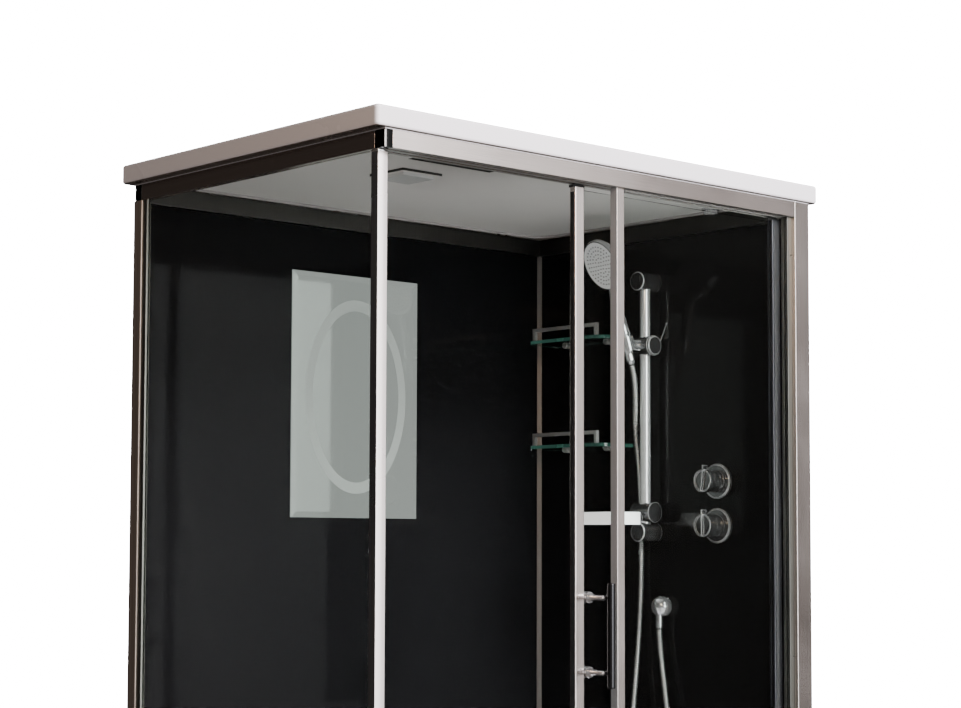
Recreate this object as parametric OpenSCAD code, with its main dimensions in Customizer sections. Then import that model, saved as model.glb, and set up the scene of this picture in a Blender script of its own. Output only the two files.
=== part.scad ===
// Shower cabin with a sliding door, a slide-rail hand shower, two valves, shelves and a mirror.
// The origin is on the floor, under the middle of everything that stands on the floor or sticks out.
// +X runs along the door front to the wet wall, +Y runs back to the rear wall, +Z is up.

/* [Cabin] */
// Width of the frame, along the door front
cabin_w = 1200; // [1100:10:1400]
// Depth of the frame, from the door front to the rear wall
cabin_d = 820; // [780:10:1000]
// Height from the floor to the top of the roof
cabin_h = 2152; // [2100:2:2252]
// Height of the tray's deck above the floor
tray_h = 150; // [140:5:180]

/* [Frame profiles] */
// Height of the front and side rails
rail_h = 33; // [33:1:40]
// Depth of the front rail, which holds the glazing slot and the roller track
front_rail_d = 50; // [50:1:56]
// Depth of the side rails
side_rail_d = 18; // [18:1:24]
// Wall of the extruded profiles
profile_t = 2; // [1.6:0.2:2.4]
// Width of the slim corner post at the door side
corner_post_w = 22; // [20:1:24]
// Depth of the slim corner post
corner_post_d = 21; // [18:1:21]
// Width of the rear left post
rear_post_w = 24; // [22:1:30]
// Width of the front post at the wet wall
right_post_w = 48; // [46:1:60]
// Depth of the front post at the wet wall
right_post_d = 38; // [36:1:44]
// How far the wall profiles reach in from the back of the frame
wall_profile_d = 30; // [28:1:36]
// Height of the wall profile under the ceiling
wall_profile_h = 38; // [36:1:46]
// Face width of the fixed pane's stile
fixed_stile_w = 21; // [18:1:26]
// Depth of the fixed stile and of the wall-side glazing profile
fixed_stile_d = 19; // [18:1:19]

/* [Glass and panels] */
// Thickness of the fixed pane, the side pane and the door
glass_t = 5; // [4:0.5:5]
// Thickness of the glossy wall panels
panel_t = 6; // [4:1:8]
// Distance from the back of the frame to the face of the rear panel
rear_panel_gap = 16; // [14:1:20]
// Service space behind the face of the wet wall
service_gap = 40; // [38:1:50]
// Width of the fixed pane, from the left edge of its stile to the right front post
fixed_w = 547; // [450:1:560]

/* [Door] */
// Width of the door between the outer edges of its stiles
door_w = 626; // [600:2:640]
// Gap between the open door and the right front post
door_open_gap = 17; // [10:1:40]
// Face width of the door's stiles
door_stile_w = 25; // [22:1:30]
// Depth of the door's stiles
door_stile_d = 16; // [14:1:16]
// Gap between a door stile and the rail
door_gap = 7; // [6:1:12]
// Radius of a roller's tread
roller_r = 11.7; // [10:0.1:11.8]
// Distance between the handle's two fixing holes
handle_pitch = 145; // [120:5:200]
// Length of the handle bar
handle_l = 202; // [180:2:300]
// Diameter of the handle bar
handle_dia = 16; // [12:1:20]
// Distance from the door glass to the middle of the handle bar
handle_reach = 66; // [50:1:70]

/* [Roof] */
// How far the roof stands out at each side of the frame
roof_side = 24; // [16:1:30]
// How far the roof stands out in front of the frame
roof_front = 6; // [4:1:12]
// How far the roof stands out behind the frame
roof_back = 12; // [8:1:20]
// Height of the shadow gap between the frame and the roof's rim
roof_gap = 2; // [1:0.5:4]
// Height of the roof's rim
roof_rim_h = 40; // [36:1:50]
// Radius of the roof's upright corners
roof_corner_r = 9; // [8:1:14]
// Radius along the roof's edges
roof_edge_r = 6; // [3:1:7]
// Wall of the roof cover
roof_t = 4; // [3:0.5:5]
// Width of the step between the wall profiles and the ceiling field
ceiling_step = 10; // [6:1:16]
// Side of the square ceiling lamp
lamp_w = 106; // [90:2:130]
// Width of the air vent panel
vent_w = 320; // [280:5:360]
// Depth of the air vent panel
vent_d = 174; // [160:2:206]
// Side of the extraction fan
fan_w = 120; // [100:5:120]

/* [Fittings] */
// Diameter of the slide bar
bar_dia = 24; // [20:1:25]
// Distance from the wet wall to the axis of the slide bar
bar_stand = 33; // [32:1:45]
// Distance from the door front back to the slide bar
bar_y = 422; // [400:2:440]
// Height of the lower bar bracket
bar_low_z = 1396; // [1380:2:1410]
// Distance from the top of the frame down to the upper bar bracket
bar_top_gap = 138; // [110:2:200]
// Diameter of the bar brackets
bracket_dia = 43; // [40:1:50]
// Length of a bar bracket from the wall
bracket_l = 60; // [58:1:70]
// Distance from the upper bar bracket down to the slider that carries the hand shower
slider_drop = 149; // [120:1:260]
// Diameter of the sliders
slider_dia = 46; // [40:1:48]
// Diameter of the spray head
head_dia = 120; // [100:5:140]
// Diameter of the shower hose
hose_dia = 13; // [12:0.5:14]
// Height of the upper valve
valve_high_z = 1509; // [1500:1:1530]
// Distance between the two valves
valve_pitch = 99; // [90:1:110]
// Distance from the door front back to the valves
valve_y = 230; // [200:5:240]
// Diameter of a valve cover plate
plate_dia = 78; // [70:1:90]
// Diameter of a valve knob
knob_dia = 50; // [46:1:60]
// Height of the hose outlet on the wall
elbow_z = 1227; // [1220:1:1235]
// Diameter of the hose outlet's dome
elbow_dia = 48; // [44:1:56]
// Length of a glass shelf along the wall
shelf_l = 254; // [200:2:260]
// Depth of a glass shelf
shelf_d = 110; // [90:2:120]
// Thickness of a glass shelf
shelf_t = 8; // [6:1:10]
// Distance from the top of the frame down to the upper shelf
shelf_top_gap = 259; // [230:1:300]
// Distance between the two shelves
shelf_pitch = 250; // [200:5:300]
// Width of the mirror
mirror_w = 360; // [300:5:420]
// Height of the mirror
mirror_h = 546; // [450:2:600]
// Thickness of the mirror
mirror_t = 5; // [4:1:6]

/* [Tray] */
// Wall of the tray
tray_t = 5; // [4:0.5:6]
// Depth of the basin below the deck
basin_depth = 65; // [40:5:65]
// Radius of the basin's upright corners
basin_r = 60; // [40:5:80]
// Diameter of the waste cover
waste_dia = 113; // [90:1:120]
// Bore of the waste outlet socket
outlet_bore = 40.4; // [38:0.2:41]
// Length of the waste outlet socket
outlet_l = 30; // [25:1:40]

/* [Hidden] */
// Smoothness of round shapes
$fn = 64;
// Clearance between pieces of one body that slide together when the cabin is built
fit = 0.2;
// Clearance between bodies that pass close to each other
pass = 0.3;
// Running clearance of a shaft in its bore
run = 0.05;
// Depth by which glass and panels enter their profiles
bite = 8;
// Overlap that keeps cuts and joints clean
eps = 0.5;

// Heights
rail_top = cabin_h - roof_rim_h - roof_gap;
rail_z = rail_top - rail_h;
base_top = tray_h + rail_h;
ceiling_z = rail_top + roof_gap + roof_t;

// Depths of the front layers
glazing_y = 17.5;
door_y = 37;
post_y = 18;
side_glass_x = 10;

// Planes inside the cabin
wet_x = cabin_w - service_gap;
rear_y = cabin_d - rear_panel_gap;
right_post_x = cabin_w - right_post_w;
fixed_stile_x = right_post_x - fixed_w;
wall_in_x = wet_x - (wall_profile_d - rear_panel_gap);
wall_in_y = cabin_d - wall_profile_d;
front_in_y = front_rail_d;
connector_l = wall_profile_d;

// The handle sticks out in front, so the middle of the whole is not the middle of the frame
handle_y = door_y - glass_t / 2 - handle_reach;
front_reach = min(handle_y - handle_dia / 2, -roof_front);
y_mid = (cabin_d + roof_back + front_reach) / 2;

// Door
door_lead_x = right_post_x - door_open_gap - door_w;
door_rear_x = door_lead_x + door_w - door_stile_w;
stile_z0 = base_top + door_gap;
stile_z1 = rail_z - door_gap;
stem_r = 11.5;
stem_gap = 0.5;
handle_x = door_lead_x + door_stile_w + stem_r + stem_gap;
handle_z = 1192;
track_z = rail_z + profile_t;
axle_r = 3;
top_axle_z = track_z + pass + roller_r;
low_axle_z = tray_h + profile_t + pass + roller_r;
slot_half = 3;
neck_t = 3;
neck_y = door_y - neck_t / 2;
neck_w = 26;
hanger_l = 32;
hanger_h = 5;
tyre_w = 6;

// Fixed pane
glazing_w = 16;
glazing_x = right_post_x - glazing_w;
// Face of the side pane's rear channel
channel_x = 3;
channel_w = 11;

// Slide bar and hand shower
bar_x = wet_x - bar_stand;
bar_high_z = rail_top - bar_top_gap;
slider_z = bar_high_z - slider_drop;
slider_l = 52;
clamp_t = 4;
spigot_r = 8;
arm_r = 13;
holder_x = bar_x - 61;
lean = 16.5;
turn = -10;
cup_r = 18;
head_s = 190;
head_forward = 8;
head_tilt = 8.5;
grip_top = 150;
nut_s = 45;

// Soap dish
soap_z = bar_low_z + bracket_dia / 2 + slider_dia / 2 + pass;
soap_l = 144;
soap_w = 86;
soap_h = 28;

// Valves
valve_low_z = valve_high_z - valve_pitch;
plate_t = 8;
spindle_r = 8;
knob_l = 46;
knob_gap = 2;
inlet_dy = 54;
inlet_r = 14;
inlet_l = 15;
inlet_bore_r = 9.3;
pipe_r = 7.5;
pipe_x = wet_x + 23;
body_half_w = 24;
body_end = 36;
spindle_reach = 30;

// Hose outlet
hose_x = wet_x - 20;
hose_y = bar_y - 30;
neck_l = 20;
collar_l = 10;
collar_r = 8.2;
hose_out_z = elbow_z - 47.3;

// Shelves and mirror
shelf_high_z = rail_top - shelf_top_gap;
shelf_mid_y = rear_y - 190;
shelf_x = wet_x - shelf_d;
stub_dy = 68;
stub_l = 34;
stub_r = 9.5;
stub_cap = 2;
shelf_gap = 5;
guard_l = 212;
guard_h = 29;
guard_t = 8;
mirror_x = 402;
mirror_top_gap = 101;
mirror_z = rail_top - wall_profile_h - mirror_top_gap - mirror_h;
bevel_w = 13;
bevel_t = 2;

// Ceiling fittings
lamp_x = 345;
lamp_y = 350;
vent_x = 325;
vent_y = front_in_y + ceiling_step + vent_d / 2 + 5;
fan_x = 330;
fan_y = 168;
fan_h = 25;
louvre_w = 214;
louvre_d = 66;

// Tray
basin_x0 = 42;
basin_x1 = wall_in_x - 16;
basin_y0 = front_rail_d + 22;
basin_y1 = wall_in_y - 15;
basin_z = tray_h - basin_depth;
waste_x = basin_x1 - 170;
waste_y = cabin_d / 2;
frame_tube = 30;
deck_t = 14;
outlet_z = 28;
trap_r = 55;
trap_bore_r = 44;
trap_lift = 6;
trap_floor = 4;
trap_reach = 150;
trap_pipe_r = 25;
trap_pipe_bore_r = 17;
leg_inset_x = 60;
leg_inset_y = 190;
foot_r = 5.9;
foot_bore_r = 6;
foot_disc_r = 25;
foot_disc_h = 4;
foot_hub_r = 12;
foot_hub_h = 9;

// Points that the shower hose follows from the hand shower down and up again to its outlet,
// measured from the outlet, with the slider at the height hose_slider_h above it
HOSE = [
    [-61.3, 27.8, 599.8], [-57.5, 27.2, 586.8], [-53, 27.6, 571.3], [-47, 30.6, 551.3],
    [-39, 36.5, 526.3], [-29.5, 45.5, 496.3], [-19, 55, 466.3], [-8.5, 62.5, 434.3],
    [-0.4, 65.4, 398.3], [5.6, 66, 358.3], [9, 65.6, 314.3], [10.4, 65.4, 260.3], [10.6, 65, 200.3],
    [10, 64.8, 140.3], [8.4, 65, 76.3], [5, 65.8, 10.3], [-0.4, 67, -55.7], [-7.2, 68, -123.7],
    [-14.4, 68, -189.7], [-21.4, 65.4, -253.7], [-26, 61.4, -307.7], [-28.4, 59, -357.7],
    [-28.6, 54.8, -378.7], [-28.2, 42.9, -396.6], [-27.2, 25, -408.5], [-25.6, 4, -412.7],
    [-23.8, -17, -408.5], [-22, -34.9, -396.6], [-20.2, -46.8, -378.7], [-18.6, -51, -357.7],
    [-17, -50, -319.7], [-14.6, -46, -275.7], [-11, -38, -223.7], [-7.4, -28.6, -175.7],
    [-4, -18.4, -127.7], [-1.6, -9.4, -83.7], [-0.4, -3.4, -47.7], [0, -0.8, -23.7], [0, 0, -11.7],
    [0, 0, 0]
];
hose_slider_h = 643.3;
hose_ribs = 196;
hose_bore_r = 4.2;
hose_sides = 8;

// Moves the cabin's own corner-based coordinates to the origin under its middle
module cabin() translate([-cabin_w / 2, -y_mid, 0]) children();

// A block between two corners
module block(a, b) translate(a) cube(b - a);

// A flat rectangle with round corners, from its lowest corner
module round_rect(w, d, r) {
    translate([r, 0]) square([w - 2 * r, d]);
    translate([0, r]) square([w, d - 2 * r]);
    for (x = [r, w - r], y = [r, d - r]) translate([x, y]) circle(r);
}

// A slab with round upright corners and softer edges, from its lowest corner
module soft_slab(w, d, h, corner, edge) {
    translate([corner, 0, 0]) rotate([90, 0, 90]) linear_extrude(w - 2 * corner) round_rect(d, h, edge);
    translate([0, d - corner, 0]) rotate([90, 0, 0]) linear_extrude(d - 2 * corner) round_rect(w, h, edge);
    for (x = [corner, w - corner], y = [corner, d - corner]) translate([x, y, 0]) rotate_extrude() {
        square([corner - edge, h]);
        translate([0, edge]) square([corner, h - 2 * edge]);
        for (z = [edge, h - edge]) translate([corner - edge, z]) circle(edge);
    }
}

// Cylinders along X and along Y, from a start point
module rod_x(a, l, r) translate(a) rotate([0, 90, 0]) cylinder(r = r, h = l);
module rod_y(a, l, r) translate(a) rotate([-90, 0, 0]) cylinder(r = r, h = l);
module rod_z(a, l, r) translate(a) cylinder(r = r, h = l);

// Section of the front rails, with the glazing slot and the roller track, drawn as depth and height
module front_rail_section() difference() {
    square([front_rail_d, rail_h]);
    // Glazing slot
    translate([glazing_y - glass_t / 2 - fit, -eps]) square([glass_t + 2 * fit, bite + 1 + eps]);
    // Hollow above the glazing slot
    translate([profile_t, bite + 4]) square([glazing_y + 4.5 - profile_t, rail_h - bite - 4 - profile_t]);
    // Roller chamber and the slot below it
    translate([glazing_y + 6.5, profile_t])
        square([front_rail_d - glazing_y - 6.5 - profile_t, rail_h - 2 * profile_t]);
    translate([door_y - slot_half, -eps]) square([2 * slot_half, profile_t + 2 * eps]);
}

// Section of the side rails, with the glazing slot
module side_rail_section() difference() {
    square([side_rail_d, rail_h]);
    translate([side_glass_x - glass_t / 2 - fit, -eps]) square([glass_t + 2 * fit, bite + 1 + eps]);
    translate([profile_t, bite + 4]) square([side_rail_d - 2 * profile_t, rail_h - bite - 4 - profile_t]);
}

// Section of the wall profiles: a hollow with a slot for the panel, from its inner face outwards
module wall_profile_section(h) difference() {
    square([wall_profile_d, h]);
    translate([wall_profile_d - rear_panel_gap - fit, -eps]) square([panel_t + 2 * fit, bite + 1 + eps]);
    translate([profile_t, bite + 4]) square([wall_profile_d - 2 * profile_t, h - bite - 4 - profile_t]);
}

// A profile that runs along X or along Y; a base profile is the same section upside down
module upright(flip, h) {
    if (flip) translate([0, h]) mirror([0, 1]) children();
    else children();
}
module run_x(x0, x1, y, z, flip, h) translate([x0, y, z]) rotate([90, 0, 90])
    linear_extrude(x1 - x0) upright(flip, h) children();
module run_y(y0, y1, x, z, flip, h) translate([x, y1, z]) rotate([90, 0, 0])
    linear_extrude(y1 - y0) upright(flip, h) children();

module top_rail_front() color([.86, .80, .77]) cabin()
    run_x(side_rail_d + fit, right_post_x - fit, 0, rail_z, false, rail_h) front_rail_section();

module bottom_rail_front() color([.86, .80, .77]) cabin()
    run_x(side_rail_d + fit, right_post_x - fit, 0, tray_h, true, rail_h) front_rail_section();

module side_rails() color([.62, .57, .54]) cabin() {
    run_y(connector_l, wall_in_y, 0, rail_z, false, rail_h) side_rail_section();
    run_y(connector_l, wall_in_y, 0, tray_h, true, rail_h) side_rail_section();
}

// The two profiles at a wall's top or base; the wet wall's one starts behind the front rail
module wall_profile_pair(z, flip, h) {
    run_x(rear_post_w + fit, wall_in_x - fit, wall_in_y, z, flip, h) wall_profile_section(h);
    run_y(front_rail_d + fit, cabin_d, wall_in_x, z, flip, h) wall_profile_section(h);
}
module wall_top_profiles() color([.30, .29, .28]) cabin()
    wall_profile_pair(rail_top - wall_profile_h, false, wall_profile_h);
module wall_base_profiles() color([.30, .29, .28]) cabin() wall_profile_pair(tray_h, true, rail_h);

// A moulded corner: a rounded block with tongues that plug into the two rails
module connector_block(tongue_front) {
    r = 8;
    intersection() {
        cube([side_rail_d, connector_l, rail_h]);
        union() {
            translate([r, r, 0]) cylinder(r = r, h = rail_h);
            translate([r, 0, 0]) cube([side_rail_d, connector_l, rail_h]);
            translate([0, r, 0]) cube([side_rail_d, connector_l, rail_h]);
        }
    }
    t = profile_t + fit;
    // Tongue into the side rail's hollow
    translate([t, connector_l - eps, bite + 4 + fit])
        cube([side_rail_d - 2 * t, 14, rail_h - bite - 4 - profile_t - 2 * fit]);
    // Tongue into the front rail's hollow
    if (tongue_front) translate([side_rail_d - eps, t, bite + 4 + fit])
        cube([14, glazing_y + 4.5 - profile_t - 2 * fit, rail_h - bite - 4 - profile_t - 2 * fit]);
}
module corner_connectors() color([.04, .04, .04]) cabin() {
    translate([0, 0, rail_z]) connector_block(true);
    translate([0, cabin_d, rail_z]) mirror([0, 1, 0]) connector_block(false);
    translate([0, 0, base_top]) mirror([0, 0, 1]) connector_block(true);
    translate([0, cabin_d, base_top]) mirror([0, 0, 1]) mirror([0, 1, 0]) connector_block(false);
}

// Slim post beside the door, with a bowed front and a slot for the side pane
module corner_post() color([.90, .85, .83]) cabin() translate([0, post_y, base_top])
    linear_extrude(rail_z - base_top) difference() {
        intersection() {
            square([corner_post_w, corner_post_d]);
            translate([corner_post_w / 2, 30]) circle(30, $fn = 96);
        }
        translate([side_glass_x - glass_t / 2 - fit, corner_post_d - bite - fit])
            square([glass_t + 2 * fit, bite + 2 * fit]);
        translate([profile_t, profile_t + 1]) square([corner_post_w - 2 * profile_t, 3]);
    }

// Rear left post, with a slot for the rear panel
module rear_left_post() color([.66, .62, .58]) cabin() translate([0, wall_in_y, base_top])
    linear_extrude(rail_z - base_top) difference() {
        round_rect(rear_post_w, wall_profile_d, 2);
        translate([rear_post_w - bite, wall_profile_d - rear_panel_gap - fit])
            square([bite + eps, panel_t + 2 * fit]);
        translate([profile_t, profile_t]) square([rear_post_w - bite - 2 * profile_t - 1,
            wall_profile_d - 2 * profile_t]);
    }

// Post at the wet wall, as high as the roof, with a slot for the wet wall's panel
module right_front_post() color([.66, .60, .56]) cabin() translate([right_post_x, 0, tray_h])
    linear_extrude(rail_top - tray_h) difference() {
        round_rect(right_post_w, right_post_d, 1.5);
        translate([wet_x - right_post_x - fit, right_post_d - bite]) square([panel_t + 2 * fit, bite + eps]);
        translate([profile_t, profile_t])
            square([right_post_w - 2 * profile_t, right_post_d - bite - 2 * profile_t - 1]);
    }

// The two channels that hold a pane at a wall: for the side pane at the rear, and the fixed pane at the right
module glazing_profiles() color([.72, .70, .68]) cabin() {
    translate([channel_x, wall_in_y - glazing_w, base_top]) linear_extrude(rail_z - base_top) difference() {
        round_rect(channel_w, glazing_w, 1);
        translate([side_glass_x - channel_x - glass_t / 2 - fit, -eps])
            square([glass_t + 2 * fit, bite + eps + fit]);
    }
    difference() {
        translate([glazing_x, glazing_y - fixed_stile_d / 2, base_top])
            linear_extrude(rail_z - base_top) difference() {
                round_rect(glazing_w - fit, fixed_stile_d, 1);
                translate([-eps, fixed_stile_d / 2 - glass_t / 2 - fit])
                    square([bite + eps + fit, glass_t + 2 * fit]);
            }
        // Countersunk holes for the fixing screws
        for (z = [base_top + 180, (base_top + rail_z) / 2, rail_z - 84])
            rod_y([glazing_x + 11.5, glazing_y - fixed_stile_d / 2 - eps, z], 3, 2);
    }
}

module side_glass() color([.85, .92, .90, .25]) cabin() {
    x = side_glass_x - glass_t / 2;
    front = post_y + corner_post_d - bite;
    rear = wall_in_y - glazing_w + bite;
    block([x, front, base_top], [x + glass_t, rear, rail_z]);
    // Edges that enter the side rails, clear of the corner connectors
    block([x, max(front, connector_l + fit), base_top - bite], [x + glass_t, rear, rail_z + bite]);
}

module fixed_glass() color([.85, .92, .90, .25]) cabin() block(
    [fixed_stile_x + fixed_stile_w - bite, glazing_y - glass_t / 2, base_top - bite],
    [glazing_x + bite, glazing_y + glass_t / 2, rail_z + bite]);

module fixed_stile() color([.86, .80, .78]) cabin()
    translate([fixed_stile_x, glazing_y - fixed_stile_d / 2, base_top])
    linear_extrude(rail_z - base_top) difference() {
        round_rect(fixed_stile_w, fixed_stile_d, 1);
        translate([fixed_stile_w - bite - fit, fixed_stile_d / 2 - glass_t / 2 - fit])
            square([bite + fit + eps, glass_t + 2 * fit]);
        translate([profile_t, profile_t])
            square([fixed_stile_w - bite - 2 * profile_t, fixed_stile_d - 2 * profile_t]);
    }

// Cove that covers the joint between the two panels
module back_corner_profile() color([.42, .42, .41]) cabin()
    translate([wet_x, rear_y, base_top]) linear_extrude(rail_top - wall_profile_h - base_top)
        polygon([[-9, 0], [-9, -1.5], [-1.5, -9], [0, -9], [0, 0]]);

module back_wall_panel() color([.05, .05, .055]) cabin() {
    top = rail_top - wall_profile_h;
    block([rear_post_w - bite + fit, rear_y, base_top], [wet_x, rear_y + panel_t, top]);
    // Edges that enter the wall profiles, between the post and the wet wall's profile
    block([rear_post_w + fit, rear_y, base_top - bite], [wall_in_x - fit, rear_y + panel_t, top + bite]);
}

module right_wall_panel() color([.05, .05, .055]) cabin() difference() {
    block([wet_x, right_post_d - bite + fit, base_top - bite],
        [wet_x + panel_t, cabin_d - profile_t - fit, rail_top - wall_profile_h + bite]);
    for (z = [valve_high_z, valve_low_z]) rod_x([wet_x - eps, valve_y, z], panel_t + 2 * eps, spindle_r + 6);
    rod_x([wet_x - eps, hose_y, elbow_z], panel_t + 2 * eps, pipe_r + 1.5);
}

// Roof cover: a shallow moulded lid, with a low flange below it that stands on the frame
module roof_cover() color([.95, .94, .94]) cabin() difference() {
    union() {
        translate([-roof_side, -roof_front, rail_top + roof_gap])
            soft_slab(cabin_w + 2 * roof_side, cabin_d + roof_front + roof_back, roof_rim_h,
                roof_corner_r, roof_edge_r);
        block([0, 0, rail_top], [cabin_w, cabin_d, rail_top + roof_gap + eps]);
    }
    // Hollow of the lid and the opening below it
    translate([roof_t - roof_side, roof_t - roof_front, ceiling_z])
        linear_extrude(roof_rim_h - 2 * roof_t)
            round_rect(cabin_w + 2 * (roof_side - roof_t), cabin_d + roof_front + roof_back - 2 * roof_t,
                roof_corner_r - roof_t);
    translate([side_rail_d + ceiling_step, front_in_y + ceiling_step, rail_top - eps])
        linear_extrude(ceiling_z - rail_top + 2 * eps) round_rect(
            wall_in_x - side_rail_d - 2 * ceiling_step, wall_in_y - front_in_y - 2 * ceiling_step, 60);
}

module ceiling_panel() color([.80, .81, .80]) cabin() difference() {
    block([0, 0, ceiling_z], [cabin_w, cabin_d, ceiling_z + 3]);
    translate([fan_x, fan_y, ceiling_z - eps]) cylinder(r = fan_w / 2 - 4, h = 4);
}

// Vent panel with slanting louvres over the fan
module vent_grille() color([.74, .75, .74]) cabin() {
    plate = 5;
    difference() {
        translate([vent_x - vent_w / 2, vent_y - vent_d / 2, ceiling_z - plate])
            linear_extrude(plate) round_rect(vent_w, vent_d, 6);
        translate([fan_x - louvre_w / 2, fan_y - louvre_d / 2, ceiling_z - plate - eps])
            cube([louvre_w, louvre_d, plate + 2 * eps]);
    }
    for (i = [0:5])
        translate([fan_x - louvre_w / 2 - eps, fan_y + (i - 2.5) * louvre_d / 6, ceiling_z - plate / 2])
            rotate([35, 0, 0]) translate([0, -3, -0.6]) cube([louvre_w + 2 * eps, 6, 1.2]);
}

// Fan casing with struts that hold the rotor's pin
module fan_housing() color([.15, .15, .15]) cabin() translate([fan_x, fan_y, ceiling_z + 3]) {
    difference() {
        translate([-fan_w / 2, -fan_w / 2, 0]) linear_extrude(fan_h) round_rect(fan_w, fan_w, 6);
        translate([0, 0, -eps]) cylinder(r = fan_w / 2 - 3, h = fan_h + 2 * eps);
    }
    for (a = [45:90:315]) rotate(a) translate([12, -2, fan_h - 3]) cube([fan_w / 2 - 14, 4, 3]);
    translate([0, 0, fan_h - 6]) cylinder(r = 16, h = 6);
    cylinder(r = 2.5, h = fan_h);
}

module fan_rotor() color([.2, .2, .2]) cabin() translate([fan_x, fan_y, ceiling_z + 3]) difference() {
    union() {
        translate([0, 0, 2]) cylinder(r = 18, h = fan_h - 6 - 2 - 1);
        intersection() {
            translate([0, 0, 2]) cylinder(r = fan_w / 2 - 6, h = fan_h - 10);
            for (i = [0:6]) rotate(i * 360 / 7) translate([14, 0, 9]) rotate([35, 0, 0])
                translate([0, -14, -0.8]) cube([fan_w / 2, 28, 1.6]);
        }
    }
    translate([0, 0, -eps]) cylinder(r = 2.5 + run, h = fan_h);
}

// Ceiling lamp: a square frame with a smaller lens that hangs lower
module lamp_frame() color([.60, .63, .62]) cabin() translate([lamp_x, lamp_y, ceiling_z]) difference() {
    translate([-lamp_w / 2, -lamp_w / 2, -5]) linear_extrude(5) round_rect(lamp_w, lamp_w, 4);
    translate([-lamp_w / 2 + 16, -lamp_w / 2 + 16, -5 - eps]) cube([lamp_w - 32, lamp_w - 32, 5 + 2 * eps]);
}
module lamp_lens() color([.80, .84, .83]) cabin() translate([lamp_x, lamp_y, ceiling_z]) {
    w = lamp_w - 32 - 2 * fit;
    translate([-w / 2, -w / 2, -5]) cube([w, w, 5]);
    translate([-w / 2 - 4, -w / 2 - 4, -11]) linear_extrude(6) round_rect(w + 8, w + 8, 3);
}

// Small ribbed fitting on the ceiling
module ceiling_fitting() color([.85, .86, .87]) cabin() translate([wet_x - 50, 205, ceiling_z]) {
    translate([0, 0, -5]) cylinder(r = 20, h = 5);
    translate([0, 0, -16]) cylinder(r = 13, h = 16);
    for (a = [0:45:315]) rotate(a) translate([13, 0, -14]) cylinder(r = 3, h = 12, $fn = 24);
}

// An ellipse as a ring of points
function oval(a, b, n = 72) = [for (i = [0:n - 1]) [a * cos(i * 360 / n), b * sin(i * 360 / n)]];

// Mirror with a bevelled edge and an etched oval band
module wall_mirror() color([.72, .77, .76]) cabin() translate([mirror_x, rear_y, mirror_z]) rotate([90, 0, 0])
    difference() {
        hull() {
            cube([mirror_w, mirror_h, mirror_t - bevel_t]);
            translate([bevel_w, bevel_w, 0]) cube([mirror_w - 2 * bevel_w, mirror_h - 2 * bevel_w, mirror_t]);
        }
        translate([mirror_w / 2, mirror_h / 2, mirror_t - 0.3]) linear_extrude(1) difference() {
            polygon(oval(mirror_w * 0.4, mirror_h * 0.4));
            polygon(oval(mirror_w * 0.4 - 21, mirror_h * 0.4 - 25));
        }
    }

// Shelf heights
SHELVES = [shelf_high_z, shelf_high_z - shelf_pitch];

module shelf_glass() color([.45, .72, .65, .6]) cabin() for (z = SHELVES)
    translate([shelf_x, shelf_mid_y - shelf_l / 2, z - shelf_t]) linear_extrude(shelf_t) {
        r = 34;
        translate([r, 0]) square([shelf_d - r - shelf_gap, shelf_l]);
        translate([0, r]) square([shelf_d - shelf_gap, shelf_l - 2 * r]);
        for (y = [r, shelf_l - r]) translate([r, y]) circle(r);
    }

module shelf_rails() color([.82, .83, .84]) cabin() for (z = SHELVES)
    translate([shelf_x + 6, shelf_mid_y - guard_l / 2, z]) {
        translate([0, 0, guard_h - guard_t]) cube([guard_t, guard_l, guard_t]);
        for (y = [0, guard_l - guard_t]) translate([0, y, 0]) cube([guard_t, guard_t, guard_h]);
    }

// Round stubs at the wall that grip the glass from below and above
module shelf_supports() color([.82, .83, .84]) cabin() for (z = SHELVES, dy = [-stub_dy, stub_dy])
    translate([0, shelf_mid_y + dy, z - shelf_t / 2 - stub_cap]) difference() {
        union() {
            rod_x([wet_x - stub_l, 0, 0], stub_l, stub_r);
            rod_x([wet_x - stub_l - stub_cap, 0, 0], stub_cap, stub_r - 1.5);
        }
        translate([wet_x - stub_l - 3 * stub_cap, -stub_r - stub_cap, stub_cap - shelf_t / 2 - fit])
            cube([stub_l + 3 * stub_cap - shelf_gap + fit, 2 * (stub_r + stub_cap), shelf_t + 2 * fit]);
    }

module slide_bar() color([.88, .89, .90]) cabin() rod_z([bar_x, bar_y, bar_low_z - 10],
    bar_high_z - bar_low_z + 20, bar_dia / 2);

module bar_brackets() color([.45, .46, .47]) cabin() for (z = [bar_low_z, bar_high_z]) {
    outward = z == bar_low_z ? 1 : -1;
    difference() {
        union() {
            rod_x([wet_x - bracket_l, bar_y, z], bracket_l, bracket_dia / 2 - 1);
            rod_x([wet_x - bracket_l + 1.5, bar_y, z], bracket_l - 1.5, bracket_dia / 2);
        }
        translate([bar_x, bar_y, z - outward * (10 + fit)]) rotate([outward > 0 ? 0 : 180, 0, 0])
            cylinder(r = bar_dia / 2 + fit, h = bracket_dia);
    }
}

// Turns and places the hand shower's own axes: its handle along Z, its spray face towards -X
module handset_frame() cabin() translate([holder_x, bar_y, slider_z])
    rotate([0, 0, turn]) rotate([0, -lean, 0]) children();

// The spray head's own axes: its back towards Z, its middle a little in front of the handle's line
module head_frame() handset_frame()
    translate([-head_forward, 0, head_s]) rotate([0, 90 - head_tilt, 0]) children();

module slider_body() color([.40, .41, .42]) cabin() difference() {
    union() {
        rod_y([bar_x, bar_y - slider_l / 2, slider_z], slider_l, slider_dia / 2);
        rod_x([holder_x + 20, bar_y, slider_z], bar_x - holder_x - 20 - slider_dia / 4, spigot_r);
    }
    rod_z([bar_x, bar_y, slider_z - slider_dia], 2 * slider_dia, bar_dia / 2 + run);
}

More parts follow.
